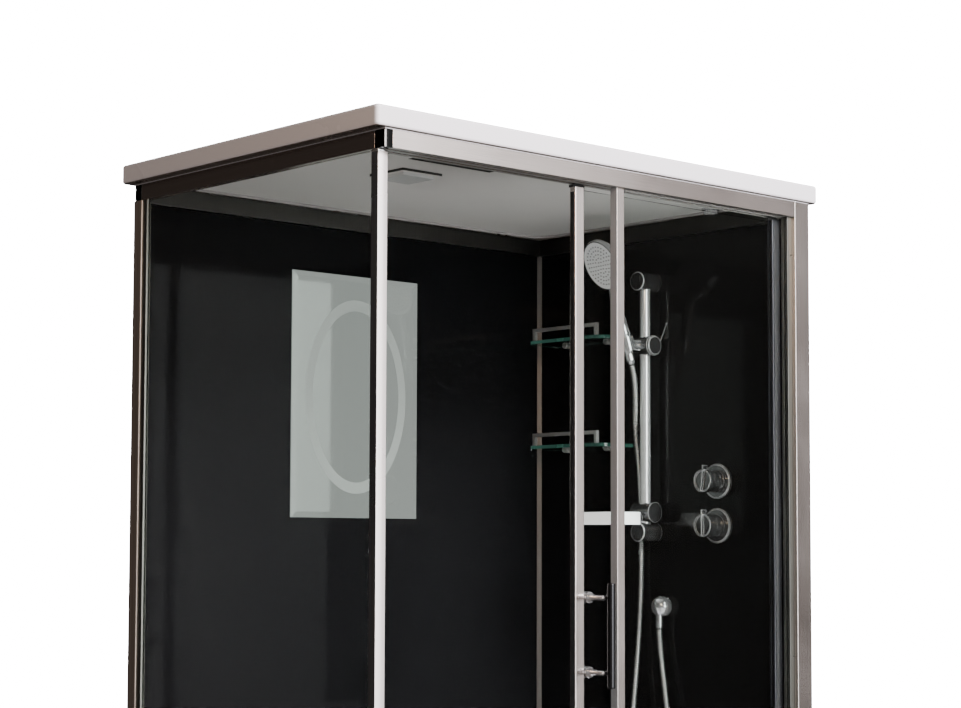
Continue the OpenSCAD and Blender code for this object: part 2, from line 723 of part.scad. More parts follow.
// Clamp knob and its thin lever
module slider_lever() color([.55, .56, .57]) cabin() translate([bar_x, bar_y - slider_l / 2 - pass, slider_z]) {
    rod_y([0, -clamp_t, 0], clamp_t, slider_dia / 2 - 1);
    rod_y([0, -5, 0], 2, slider_dia / 2 - 3);
    translate([19, -2, 8]) rotate([27, 0, 0]) cylinder(r = 2, h = 48, $fn = 24);
}

// Cradle: a cup for the hand shower's cone on an arm that turns on the slider's spigot
module handset_holder() difference() {
    union() {
        color([.45, .46, .47]) handset_frame() translate([0, 0, -14]) cylinder(r = cup_r, h = 32);
        color([.45, .46, .47]) cabin() rod_x([holder_x, bar_y, slider_z],
            bar_x - slider_dia / 2 - holder_x - pass, arm_r);
    }
    cabin() rod_x([holder_x + 20 - fit, bar_y, slider_z], 60, spigot_r + run);
    handset_frame() translate([0, 0, -20]) cylinder(r1 = 11, r2 = 13.4, h = 42);
    handset_frame() translate([-cup_r - 2, -hose_dia / 2 - 1, -20]) cube([cup_r, hose_dia + 2, 42]);
}

module handset_body() color([.86, .87, .88]) {
    cone_top = 22;
    difference() {
        union() {
            handset_frame() rotate_extrude() polygon([
                [0, -22], [10.6, -22], [13.1, cone_top], [14, cone_top + 3], [12.4, cone_top + 14], [11.4, 60],
                [11.8, 90], [12.4, 112], [11.6, 134], [10.5, grip_top], [8, grip_top + 10], [0, grip_top + 14]
            ]);
            head_frame() rotate_extrude($fn = 96) polygon([
                [0, -11], [head_dia / 2 - 1, -11], [head_dia / 2, -9], [head_dia / 2, 0],
                [head_dia / 2 - 4, 6], [head_dia / 2 - 16, 11], [22, 15], [0, 16]
            ]);
        }
        // Recess for the spray face, the water chamber behind it and the bore of the handle
        head_frame() translate([0, 0, -12]) cylinder(r = head_dia / 2 - 4, h = 4);
        head_frame() rotate_extrude($fn = 96) polygon([
            [0, -9], [head_dia / 2 - 7, -9], [head_dia / 2 - 7, 3], [head_dia / 2 - 19, 8], [22, 12], [0, 13]
        ]);
        handset_frame() translate([0, 0, -23]) cylinder(r = 7.5, h = grip_top + 20);
    }
}

// Spray face with rings of nozzles
module handset_face() color([.78, .79, .80]) head_frame() {
    r = head_dia / 2 - 4 - fit;
    translate([0, 0, -10.5]) cylinder(r = r, h = 2.5);
    for (ring = [1:3], i = [0:8 * ring - 1]) rotate(i * 45 / ring)
        translate([r * ring / 3.6, 0, -11.5]) cylinder(r = 1.6, h = 1.5, $fn = 16);
}

module handset_nut() color([.80, .81, .82]) handset_frame() translate([0, 0, -nut_s]) difference() {
    union() {
        cylinder(r1 = 7.2, r2 = 9, h = 8);
        translate([0, 0, 8]) cylinder(r = 9.5, h = nut_s - 22 - 8, $fn = 12);
    }
    translate([0, 0, -eps]) cylinder(r = 4.5, h = nut_s);
}

// A point between p1 and p2 on a smooth curve through four points
function smooth_point(p0, p1, p2, p3, t) = 0.5 * (2 * p1 + (p2 - p0) * t
    + (2 * p0 - 5 * p1 + 4 * p2 - p3) * t * t + (3 * p1 - p0 - 3 * p2 + p3) * t * t * t);
// A point of the route in place; the upper strand follows the slider's height
hose_lift = (slider_z - hose_out_z - hose_slider_h) / HOSE[0][2];
function hose_point(i) = [hose_x + HOSE[i][0], hose_y + HOSE[i][1], hose_out_z + HOSE[i][2]
    + hose_lift * max(0, HOSE[i][2])];
// The route's points, with one more beyond each end
function route_point(i) = i < 0 ? 2 * hose_point(0) - hose_point(1) : i < len(HOSE) ? hose_point(i)
    : 2 * hose_point(len(HOSE) - 1) - hose_point(len(HOSE) - 2);
// A point at u, from 0 at the hand shower to 1 at the wall
function hose_at(u) = let (s = u * (len(HOSE) - 1), i = min(floor(s), len(HOSE) - 2))
    smooth_point(route_point(i - 1), route_point(i), route_point(i + 1), route_point(i + 2), s - i);
// Steps that spread the ribs evenly along the hose
hose_fine = 600;
hose_line = [for (i = [0:hose_fine]) hose_at(i / hose_fine)];
function hose_sum(i = 0, s = 0, a = []) = i > hose_fine ? a
    : hose_sum(i + 1, i < hose_fine ? s + norm(hose_line[i + 1] - hose_line[i]) : s, concat(a, [s]));
hose_dist = hose_sum();
hose_l = hose_dist[hose_fine];
function hose_index(d, lo = 0, hi = 600) = hi - lo <= 1 ? lo
    : let (m = floor((lo + hi) / 2)) hose_dist[m] <= d ? hose_index(d, m, hi) : hose_index(d, lo, m);
function hose_pos(d) = let (i = hose_index(min(d, hose_l - 0.001)))
    hose_line[i] + (hose_line[i + 1] - hose_line[i]) * (d - hose_dist[i]) / (hose_dist[i + 1] - hose_dist[i]);
function unit(v) = v / norm(v);
function hose_dir(d) = unit(hose_pos(min(d + 1.5, hose_l)) - hose_pos(max(d - 1.5, 0)));
function hose_ring(d, r) =
    let (p = hose_pos(d), t = hose_dir(d), a = unit(cross(t, [1, 0, 0])), b = cross(t, a))
    [for (k = [0:hose_sides - 1]) p + r * (a * cos(k * 360 / hose_sides) + b * sin(k * 360 / hose_sides))];

// The hose's skin: a valley and a crest for each rib, and the bore inside
module shower_hose() color([.70, .71, .72]) cabin() {
    pitch = (hose_l - 2 * hose_dia) / hose_ribs;
    outer = concat([[0, hose_dia / 2 - 0.3]],
        [for (i = [0:hose_ribs - 1], half = [0, 1])
            [hose_dia + (i + half / 2) * pitch, hose_dia / 2 - (half ? 0 : 0.7)]],
        [[hose_l, hose_dia / 2 - 0.3]]);
    inner = [for (i = [60:-1:0]) [hose_l * i / 60, hose_bore_r]];
    rings = concat(outer, inner);
    n = len(rings);
    points = [for (ring = rings) each hose_ring(ring[0], ring[1])];
    faces = [for (i = [0:n - 1], k = [0:hose_sides - 1], half = [0, 1])
        let (j = (i + 1) % n, a = i * hose_sides + k, b = i * hose_sides + (k + 1) % hose_sides,
            c = j * hose_sides + (k + 1) % hose_sides, d = j * hose_sides + k)
        half ? [a, c, b] : [a, d, c]];
    polyhedron(points, faces);
    echo(hose_length = hose_l);
}

// Hose outlet: a dome on the wall with a short neck that points down
module wall_elbow() color([.80, .81, .82]) cabin() {
    intersection() {
        translate([wet_x - elbow_dia / 4, hose_y, elbow_z]) sphere(r = elbow_dia / 2);
        block([wet_x - 2 * elbow_dia, hose_y - elbow_dia, elbow_z - elbow_dia],
            [wet_x, hose_y + elbow_dia, elbow_z + elbow_dia]);
    }
    rod_z([hose_x, hose_y, hose_out_z + fit + collar_l], neck_l, pipe_r);
    rod_z([hose_x, hose_y, hose_out_z + fit], collar_l, collar_r);
}

module soap_slider() color([.40, .41, .42]) cabin() difference() {
    union() {
        rod_y([bar_x, bar_y - slider_l / 2 - clamp_t, soap_z], slider_l + clamp_t, slider_dia / 2);
        rod_x([bar_x - 35, bar_y, soap_z - 9], 30, 9);
    }
    rod_z([bar_x, bar_y, soap_z - slider_dia], 2 * slider_dia, bar_dia / 2 + run);
}

// Shallow open dish
module soap_dish() color([.92, .93, .93, .7]) cabin()
    translate([bar_x - 35 - soap_w, bar_y - 26, soap_z - soap_h]) difference() {
        linear_extrude(soap_h) round_rect(soap_w, soap_l, 16);
        translate([3, 3, 3]) linear_extrude(soap_h) round_rect(soap_w - 6, soap_l - 6, 13);
        for (i = [0:2]) translate([soap_w / 2 - 20, 36 + i * 32, -eps]) cube([40, 6, 6]);
    }

// Brass body behind the wet wall, with hot and cold inlets and the pipe to the hose outlet
module mixer_valve() color([.72, .58, .30]) cabin() difference() {
    pipe_z = valve_high_z - body_half_w;
    union() {
        block([wet_x + panel_t + 2, valve_y - body_half_w, valve_low_z - body_end],
            [cabin_w - 2, valve_y + body_half_w, valve_high_z + body_end]);
        for (z = [valve_high_z, valve_low_z])
            rod_x([wet_x - spindle_reach, valve_y, z], 2 * spindle_reach, spindle_r);
        rod_y([pipe_x, valve_y - inlet_dy, valve_low_z], 2 * inlet_dy, inlet_r);
        for (s = [-1, 1]) rod_x([pipe_x, valve_y + s * inlet_dy, valve_low_z], cabin_w - 2 - pipe_x, inlet_r);
        rod_y([pipe_x, valve_y, pipe_z], hose_y - valve_y, pipe_r);
        rod_z([pipe_x, hose_y, elbow_z], pipe_z - elbow_z, pipe_r);
        rod_x([wet_x + fit, hose_y, elbow_z], pipe_x - wet_x - fit, pipe_r);
        for (z = [pipe_z, elbow_z]) translate([pipe_x, hose_y, z]) sphere(pipe_r);
    }
    // Threaded inlets that face the room wall
    for (s = [-1, 1])
        rod_x([cabin_w - 2 - inlet_l, valve_y + s * inlet_dy, valve_low_z], inlet_l + eps, inlet_bore_r);
}

module valve_plates() color([.60, .61, .62]) cabin() for (z = [valve_high_z, valve_low_z]) difference() {
    union() {
        rod_x([wet_x - plate_t + 2, valve_y, z], plate_t - 2, plate_dia / 2);
        rod_x([wet_x - plate_t, valve_y, z], plate_t, plate_dia / 2 - 3);
    }
    rod_x([wet_x - plate_t - eps, valve_y, z], plate_t + 2 * eps, spindle_r + 1);
}

// Knob with a dished face and an upright blade to turn it by
module valve_knob(z, angle) {
    back = wet_x - plate_t - knob_gap;
    translate([back, valve_y, z]) rotate([angle, 0, 0]) difference() {
        union() {
            rod_x([-knob_l, 0, 0], knob_l, knob_dia / 2);
            translate([-knob_l - 3, -1.8, -knob_dia / 2 + 3]) cube([14, 3.6, knob_dia + 7]);
        }
        difference() {
            rod_x([-knob_l - 0.1, 0, 0], 4, knob_dia / 2 - 3);
            translate([-knob_l - 3, -1.8, -knob_dia / 2]) cube([14, 3.6, knob_dia]);
        }
        rod_x([-22, 0, 0], 22 + eps, spindle_r + run);
    }
}
module upper_knob() color([.62, .63, .64]) cabin() valve_knob(valve_high_z, 8);
module lower_knob() color([.62, .63, .64]) cabin() valve_knob(valve_low_z, 0);

// Sliding door
module door_glass() color([.85, .92, .90, .25]) cabin() difference() {
    block([door_lead_x + door_stile_w - 15, door_y - glass_t / 2, stile_z0 + 4],
        [door_rear_x + 15, door_y + glass_t / 2, stile_z1 - 4]);
    for (s = [-1, 1]) rod_y([handle_x, door_y - glass_t, handle_z + s * handle_pitch / 2], 2 * glass_t, 6);
}

// A door stile with a slot for the glass on its right side
module door_stile_section() difference() {
    round_rect(door_stile_w, door_stile_d, 2);
    translate([door_stile_w - 15 - fit, door_stile_d / 2 - glass_t / 2 - fit])
        square([15 + fit + eps, glass_t + 2 * fit]);
}
module door_lead_stile() color([.88, .83, .80]) cabin()
    translate([door_lead_x, door_y - door_stile_d / 2, stile_z0])
        linear_extrude(stile_z1 - stile_z0) door_stile_section();
module door_rear_stile() color([.88, .83, .80]) cabin()
    translate([door_rear_x + door_stile_w, door_y - door_stile_d / 2, stile_z0])
        linear_extrude(stile_z1 - stile_z0) mirror([1, 0]) door_stile_section();

// Bar handle with two flared stems whose studs pass through the glass
module door_handle() color([.55, .56, .57]) cabin() translate([handle_x, handle_y, handle_z]) {
    rod_z([0, 0, -handle_l / 2], handle_l, handle_dia / 2 - 1);
    rod_z([0, 0, -handle_l / 2 + 1.5], handle_l - 3, handle_dia / 2);
    for (s = [-1, 1]) translate([0, 0, s * handle_pitch / 2]) rotate([-90, 0, 0]) rotate_extrude() polygon([
        [0, 0], [8, 0], [7.6, 10], [5.6, 18], [5.2, 38], [6.5, handle_reach - 14],
        [stem_r - 1.5, handle_reach - 11],
        [stem_r, handle_reach - 8], [stem_r, handle_reach - 1], [stem_r - 1, handle_reach], [5, handle_reach],
        [5, handle_reach + glass_t], [0, handle_reach + glass_t]
    ]);
}
module handle_caps() color([.60, .61, .62]) cabin() for (s = [-1, 1])
    translate([handle_x, door_y + glass_t / 2, handle_z + s * handle_pitch / 2]) rotate([-90, 0, 0])
        rotate_extrude() polygon([
            [0, 0], [stem_r - 1, 0], [stem_r, 1], [stem_r, 7], [stem_r - 2, 10], [stem_r - 2, 14],
            [stem_r - 3, 15], [0, 15]
        ]);

// Magnet strip on the leading edge, and a brush strip towards the fixed stile
module door_seals() color([.75, .76, .76]) cabin() {
    block([door_lead_x - 0.8, door_y - 5, stile_z0 + 10], [door_lead_x, door_y + 5, stile_z1 - 10]);
    block([door_rear_x + 4, door_y - door_stile_d / 2 - 1.2, stile_z0 + 10],
        [door_rear_x + 12, door_y - door_stile_d / 2, stile_z1 - 10]);
}

// A hanger: a foot on the stile's end and a neck that reaches through the rail's slot to the axle
module hanger(x, foot_z, axle_z, up) {
    s = up ? 1 : -1;
    difference() {
        union() {
            block([x, neck_y, min(foot_z, foot_z + s * hanger_h)],
                [x + hanger_l, door_y + 10, max(foot_z, foot_z + s * hanger_h)]);
            block([x + 3, neck_y, min(foot_z, axle_z)], [x + 3 + neck_w, neck_y + neck_t, max(foot_z, axle_z)]);
            rod_y([x + 3 + neck_w / 2, neck_y, axle_z], neck_t, 7);
        }
        rod_y([x + 3 + neck_w / 2, neck_y - eps, axle_z], neck_t + 2 * eps, axle_r + run);
    }
}
hanger_x = [door_lead_x, door_rear_x + door_stile_w - hanger_l];
module roller_hangers() color([.12, .12, .12]) cabin() for (x = hanger_x) {
    hanger(x, stile_z1, top_axle_z, true);
    hanger(x, stile_z0, low_axle_z, false);
}

// Two tyres with a groove on one axle
module roller(x, z) translate([x + 3 + neck_w / 2, door_y, z]) rotate([-90, 0, 0]) {
    gap = neck_t / 2 + 0.6;
    translate([0, 0, -gap - tyre_w]) cylinder(r = axle_r, h = 2 * (gap + tyre_w));
    for (s = [0, 1]) mirror([0, 0, s]) rotate_extrude() polygon([
        [0, gap], [roller_r - 1, gap], [roller_r, gap + 1], [roller_r, gap + 2],
        [roller_r - 1, gap + tyre_w / 2], [roller_r, gap + tyre_w - 2], [roller_r, gap + tyre_w - 1],
        [roller_r - 1, gap + tyre_w], [0, gap + tyre_w]
    ]);
}
module top_roller_lead() color([.9, .9, .88]) cabin() roller(hanger_x[0], top_axle_z);
module top_roller_rear() color([.9, .9, .88]) cabin() roller(hanger_x[1], top_axle_z);
module bottom_roller_lead() color([.9, .9, .88]) cabin() roller(hanger_x[0], low_axle_z);
module bottom_roller_rear() color([.9, .9, .88]) cabin() roller(hanger_x[1], low_axle_z);

// Tray: a deck with a basin that has soft edges
module shower_tray() color([.95, .95, .95]) cabin() difference() {
    union() {
        translate([0, 0, tray_h - deck_t]) linear_extrude(deck_t) round_rect(cabin_w, cabin_d, 12);
        translate([basin_x0 - tray_t, basin_y0 - tray_t, basin_z - tray_t])
            soft_slab(basin_x1 - basin_x0 + 2 * tray_t, basin_y1 - basin_y0 + 2 * tray_t,
                basin_depth + tray_t - 1, basin_r + tray_t, 14);
    }
    translate([basin_x0, basin_y0, basin_z])
        soft_slab(basin_x1 - basin_x0, basin_y1 - basin_y0, basin_depth + 40, basin_r, 16);
    // Recess for the waste cover, and the waste hole
    rod_z([waste_x, waste_y, basin_z - 2], 40, waste_dia / 2 + 1);
    rod_z([waste_x, waste_y, basin_z - 20], 40, 45);
}

// Apron: the skirts under the deck at the two open sides, with a round corner between them
module tray_apron() color([.95, .95, .95]) cabin() translate([0, 0, 8])
    linear_extrude(tray_h - deck_t - fit - 8) intersection() {
        difference() {
            round_rect(cabin_w + 40, cabin_d + 40, 12);
            translate([tray_t, tray_t]) round_rect(cabin_w + 40, cabin_d + 40, 12 - tray_t);
        }
        square([cabin_w, cabin_d]);
    }

// Steel tubes under the basin, with threaded feet
module tray_legs() color([.55, .56, .58]) cabin() {
    z1 = basin_z - tray_t;
    z0 = z1 - frame_tube;
    mid = frame_tube / 2;
    long_y = [leg_inset_y, cabin_d - leg_inset_y];
    cross_x = [2 * leg_inset_x, cabin_w / 2, cabin_w - 2 * leg_inset_x];
    difference() {
        union() {
            for (y = long_y) block([leg_inset_x, y, z0], [cabin_w - leg_inset_x, y + frame_tube, z1]);
            for (x = cross_x)
                block([x, long_y[0] + frame_tube + fit, z0], [x + frame_tube, long_y[1] - fit, z1]);
        }
        for (x = cross_x, y = long_y) rod_z([x + mid, y + mid, z0 - eps], foot_bore_r, foot_bore_r);
    }
    for (x = cross_x, y = long_y) translate([x + mid, y + mid, 0]) {
        translate([0, 0, foot_disc_h]) cylinder(r = foot_r, h = z0 - foot_disc_h + foot_r - 1);
        rotate_extrude() polygon([
            [0, 0], [foot_disc_r, 0], [foot_disc_r, foot_disc_h], [foot_hub_r, foot_hub_h], [0, foot_hub_h]
        ]);
    }
}

// Trap under the basin, with an outlet socket towards the rear
module waste_trap() color([.90, .90, .90]) cabin() {
    top = basin_z - tray_t;
    difference() {
        union() {
            rod_z([waste_x, waste_y, trap_lift], top - trap_lift, trap_r);
            rod_y([waste_x, waste_y, outlet_z], trap_reach, trap_pipe_r);
        }
        rod_z([waste_x, waste_y, trap_lift + trap_floor], top, trap_bore_r);
        rod_y([waste_x, waste_y + trap_reach - outlet_l, outlet_z], outlet_l + eps, outlet_bore / 2);
        rod_y([waste_x, waste_y + trap_bore_r / 2, outlet_z], trap_reach, trap_pipe_bore_r);
    }
}

// Slotted cover over the waste
module waste_cover() color([.85, .86, .87]) cabin() translate([waste_x, waste_y, basin_z - 2]) difference() {
    rotate_extrude() polygon([
        [0, 0], [waste_dia / 2, 0], [waste_dia / 2, 2], [waste_dia / 2 - 3, 5], [30, 8], [0, 9]
    ]);
    translate([0, 0, -eps]) cylinder(r = waste_dia / 2 - 14, h = 3);
    for (a = [0:30:330]) rotate(a) translate([22, -2, -eps]) cube([16, 4, 20]);
}

shower_tray();
tray_apron();
tray_legs();
waste_trap();
waste_cover();
bottom_rail_front();
top_rail_front();
side_rails();
wall_base_profiles();
wall_top_profiles();
corner_connectors();
corner_post();
rear_left_post();
glazing_profiles();
side_glass();
fixed_glass();
fixed_stile();
right_front_post();
back_corner_profile();
back_wall_panel();
right_wall_panel();
roof_cover();
ceiling_panel();
vent_grille();
fan_housing();
fan_rotor();
lamp_frame();
lamp_lens();
ceiling_fitting();
wall_mirror();
shelf_glass();
shelf_rails();
shelf_supports();
slide_bar();
bar_brackets();
slider_body();
slider_lever();
handset_holder();
handset_body();
handset_face();
handset_nut();
shower_hose();
wall_elbow();
soap_slider();
soap_dish();
mixer_valve();
valve_plates();
upper_knob();
lower_knob();
door_glass();
door_lead_stile();
door_rear_stile();
door_handle();
handle_caps();
door_seals();
roller_hangers();
top_roller_lead();
top_roller_rear();
bottom_roller_lead();
bottom_roller_rear();
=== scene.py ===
# %% [markdown]
# # Dressing a shower cabin
# The cabin's hard parts come ready made: frame, panes, walls, tray, roof and fittings, each in its place.
# This lesson gives them their finishes, adds the pieces that need finer work than a solid model has, and
# sets up the camera and the light. Everything is in metres. The origin is on the floor under the cabin.

# %% Load the parts
import bmesh
import bpy
import math
from mathutils import Matrix, Vector


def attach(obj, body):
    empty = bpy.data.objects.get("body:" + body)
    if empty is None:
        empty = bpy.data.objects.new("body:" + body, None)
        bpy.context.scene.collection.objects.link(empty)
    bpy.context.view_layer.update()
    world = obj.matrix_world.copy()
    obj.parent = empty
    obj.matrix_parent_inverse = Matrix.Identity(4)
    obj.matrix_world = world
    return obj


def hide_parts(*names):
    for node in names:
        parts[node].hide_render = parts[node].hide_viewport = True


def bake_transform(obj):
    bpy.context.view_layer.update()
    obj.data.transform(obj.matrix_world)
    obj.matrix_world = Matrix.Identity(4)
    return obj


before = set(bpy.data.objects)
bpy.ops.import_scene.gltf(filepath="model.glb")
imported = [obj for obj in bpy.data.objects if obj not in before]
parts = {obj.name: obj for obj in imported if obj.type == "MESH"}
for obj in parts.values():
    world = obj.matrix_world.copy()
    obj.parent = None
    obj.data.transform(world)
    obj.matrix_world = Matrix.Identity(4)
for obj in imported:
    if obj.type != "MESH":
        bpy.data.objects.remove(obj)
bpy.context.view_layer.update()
print("parts loaded:", len(parts))

# %% [markdown]
# Places on the cabin are given in millimetres from its front left corner on the floor, because a cabin is
# measured that way. One helper turns such a point into a place in the scene, which is in metres.

# %% From cabin measures to places
HALF_WIDTH = 600
MIDDLE_DEPTH = 396.25


def place(x, y, z):
    """A point of the cabin, in millimetres, as a place in the scene."""
    return Vector((x - HALF_WIDTH, y - MIDDLE_DEPTH, z)) / 1000


print("front left corner of the frame:", place(0, 0, 0))

# %% [markdown]
# ## The camera
# The picture is taken from the front left, a little below the ceiling, with a long lens. The lens looks up
# by a few degrees, and a small shift keeps the uprights almost parallel. Heading and tilt are in degrees,
# and the picture's tiny lean is in radians.

# %% Camera
HEADING = -42.338
LOOKING_UP = 3.867
LEAN = 0.00302
camera_data = bpy.data.cameras.new("camera")
camera_data.lens = 76.32
camera_data.sensor_width = 36
camera_data.shift_y = 0.0536
camera = bpy.data.objects.new("camera", camera_data)
bpy.context.scene.collection.objects.link(camera)
camera.matrix_world = (
    Matrix.Translation(place(-2299.1, -2778.1, 1369.4))
    @ Matrix.Rotation(math.radians(HEADING), 4, "Z")
    @ Matrix.Rotation(math.radians(90 + LOOKING_UP), 4, "X")
    @ Matrix.Rotation(LEAN, 4, "Z")
)
bpy.context.scene.camera = camera
print("camera at", camera.location)

# %% [markdown]
# ## The floor
# A plain pale floor carries the cabin. It is seen and takes shadows, but it is kept out of mirrors and of
# bounced light, so that it doesn't brighten the black walls.

# %% Floor
FLOOR_SIZE = 9


def deselect():
    """Leaves edit mode and selects nothing, because an operator acts on all that is selected."""
    if bpy.context.object and bpy.context.object.mode == "EDIT":
        bpy.ops.object.mode_set(mode="OBJECT")
    bpy.ops.object.select_all(action="DESELECT")


deselect()
bpy.ops.mesh.primitive_plane_add(size=FLOOR_SIZE, location=(0, 0, 0))
floor = bpy.context.object
floor.name = "floor"
floor.visible_glossy = False
floor.visible_diffuse = False
print("floor:", tuple(floor.dimensions))

# %% [markdown]
# ## Short ways to add nodes
# The sky and the finishes are both made of linked nodes. Writing each node and link in full hides what is
# being made, so a few short ways come first. Every input takes a plain value or another node's output.

# %% Node bench
class NodeBench:
    """A tree of nodes, empty at first, with short ways to add to it."""

    def __init__(self, tree):
        self.tree = tree
        self.tree.nodes.clear()

    def feed(self, socket, value):
        """Links another node's output to a socket, or puts a plain value on it."""
        if isinstance(value, bpy.types.NodeSocket):
            self.tree.links.new(value, socket)
        else:
            socket.default_value = value

    def fill(self, node, **values):
        """Feeds a node's inputs by name, with _ for a space."""
        for label, value in values.items():
            self.feed(node.inputs[label.replace("_", " ")], value)

    def add(self, kind, **values):
        node = self.tree.nodes.new("ShaderNode" + kind)
        self.fill(node, **values)
        return node

    def calc(self, operation, *values):
        node = self.add("Math")
        node.operation = operation
        for socket, value in zip(node.inputs, values):
            self.feed(socket, value)
        return node.outputs[0]

    def dot(self, first, second):
        """How well two directions agree: 1 is the same way, 0 is square on and -1 is the other way."""
        node = self.add("VectorMath")
        node.operation = "DOT_PRODUCT"
        self.feed(node.inputs[0], first)
        self.feed(node.inputs[1], second)
        return node.outputs["Value"]

    def part_of(self, vector, axis):
        return self.add("SeparateXYZ", Vector=vector).outputs[axis]

    def ramp(self, value, start, end, low, high):
        """Goes from low to high while the value goes from start to end."""
        node = self.add("MapRange", Value=value, From_Min=start, From_Max=end, To_Min=low, To_Max=high)
        return node.outputs["Result"]

    def mix(self, factor, first, second, kind="MIX"):
        """Two colours mixed. The node also mixes other things, so its colour inputs go by number."""
        node = self.add("Mix")
        node.data_type = "RGBA"
        node.blend_type = kind
        for number, value in ((0, factor), (6, first), (7, second)):
            self.feed(node.inputs[number], value)
        return node.outputs[2]


print("node bench ready")

# %% [markdown]
# ## The sky
# The sky is white where the camera looks straight at it, like a studio sweep, but much dimmer as a source
# of light, so that the black walls stay black. Flat panes show what lies level with them to the front right
# and the back left, so the sky is dark there. Round chrome shows what lies behind the camera, so a broad
# soft glow stands there. Each light in the sky is a set of tones by how far a direction points towards it.

# %% Directions and tones
world = bpy.data.worlds.new("studio")
bpy.context.scene.world = world
world.use_nodes = True
sky = NodeBench(world.node_tree)
looking = sky.add("TexCoord").outputs["Generated"]


def towards(x, y, z):
    """How far a direction points towards x, y, z: 0 is away and 1 is straight at it."""
    return sky.ramp(sky.dot(looking, Vector((x, y, z)).normalized()), -1, 1, 0, 1)


def tones(factor, *stops, tint=(1, 0.86, 0.78)):
    """Tones by position along factor. The dimmer ones lean towards the tint."""
    ramp = sky.add("ValToRGB", Fac=factor)
    while len(ramp.color_ramp.elements) < len(stops):
        ramp.color_ramp.elements.new(0.5)
    for element, (position, grey) in zip(ramp.color_ramp.elements, stops):
        element.position = position
        element.color = [grey * (t + (1 - t) * min(grey, 1)) for t in tint] + [1]
    return ramp.outputs["Color"]


print("sky helpers ready")

# %% Sky
height = towards(0, 0, 1)
dome = tones(height, (0.05, 0.20), (0.30, 0.10), (0.44, 0.03), (0.52, 0.02), (0.62, 0.04),
             (0.74, 0.08), (1.0, 0.14))
level = tones(height, (0.28, 0.1), (0.40, 1.0), (0.66, 1.0), (0.80, 0.2), tint=(1, 1, 1))
window = tones(towards(0.395, -0.915, 0.1), (0.92, 0.0), (0.945, 0.08), (0.962, 0.3),
               (0.976, 1.6), (0.99, 4.0))
tall_light = tones(towards(-0.09, -1.0, 0.1), (0.978, 0.0), (0.99, 9.0))
behind_camera = tones(towards(-0.674, -0.738, 0), (0.86, 0.0), (0.96, 0.3))
glows = sky.mix(1.0, window, sky.mix(1.0, tall_light, behind_camera, "ADD"), "ADD")
lights = sky.mix(1.0, glows, level, "MULTIPLY")
felt = sky.add("Background", Color=sky.mix(1.0, dome, lights, "ADD"), Strength=1.0)
seen = sky.add("Background", Color=(1, 1, 1, 1), Strength=22.0)
choose = sky.add("MixShader", Fac=sky.add("LightPath").outputs["Is Camera Ray"])
sky.feed(choose.inputs[1], felt.outputs["Background"])
sky.feed(choose.inputs[2], seen.outputs["Background"])
sky.add("OutputWorld", Surface=choose.outputs["Shader"])
print("sky nodes:", len(sky.tree.nodes))

# %% [markdown]
# ## The lamps
# Three soft lamps do the rest. The key lamp stands in front and above. A small warm one lights the left of
# the roof, and one behind the cabin keeps the backs of the walls from going black. Sizes are in metres.

# %% Lamps
def soft_lamp(name, where, target, size, watts, colour=(1, 1, 1)):
    """A rectangular lamp that looks from where it stands at its target."""
    data = bpy.data.lights.new(name, "AREA")
    data.shape = "RECTANGLE"
    data.size, data.size_y = size
    data.energy = watts
    data.color = colour
    lamp = bpy.data.objects.new(name, data)
    bpy.context.scene.collection.objects.link(lamp)
    lamp.location = where
    lamp.rotation_euler = (Vector(target) - Vector(where)).to_track_quat("-Z", "Y").to_euler()


soft_lamp("key", (0.6, -4.4, 4.6), (0.0, -0.3, 1.8), (2.4, 1.6), 700, (1, 0.97, 1))
soft_lamp("left", (-1.9, -2.0, 2.6), (-0.6, -0.3, 2.1), (0.6, 0.6), 15, (1, 0.70, 0.46))
soft_lamp("back", (3.4, 3.8, 3.2), (0.0, 0.2, 1.2), (1.8, 1.8), 330)

# %% [markdown]
# ## The shower hose
# A real hose is a steel strip wound into a flexible tube, a metre and a half long. It hangs from the hand
# shower, makes one loop and rises to the outlet on the wall. The route below is the line through its
# middle. A smooth curve runs through the points, and the tube is swept along it with one ridge per turn of
# the strip.

# %% Route of the hose
HOSE_ROUTE = [
    (1078.7, 419.8, 1779.5), (1082.5, 419.2, 1766.5), (1087, 419.6, 1751), (1093, 422.6, 1731),
    (1101, 428.5, 1706), (1110.5, 437.5, 1676), (1121, 447, 1646), (1131.5, 454.5, 1614),
    (1139.6, 457.4, 1578), (1145.6, 458, 1538), (1149, 457.6, 1494), (1150.4, 457.4, 1440),
    (1150.6, 457, 1380), (1150, 456.8, 1320), (1148.4, 457, 1256), (1145, 457.8, 1190),
    (1139.6, 459, 1124), (1132.8, 460, 1056), (1125.6, 460, 990), (1118.6, 457.4, 926),
    (1114, 453.4, 872), (1111.6, 451, 822), (1111.4, 446.8, 801), (1111.8, 434.9, 783.1),
    (1112.8, 417, 771.2), (1114.4, 396, 767), (1116.2, 375, 771.2), (1118, 357.1, 783.1),
    (1119.8, 345.2, 801), (1121.4, 341, 822), (1123, 342, 860), (1125.4, 346, 904),
    (1129, 354, 956), (1132.6, 363.4, 1004), (1136, 373.6, 1052), (1138.4, 382.6, 1096),
    (1139.6, 388.6, 1132), (1140, 391.2, 1156), (1140, 392, 1168), (1140, 392, 1179.7),
]
HOSE_WIDTH = 13
ROUTE_STEPS = 30


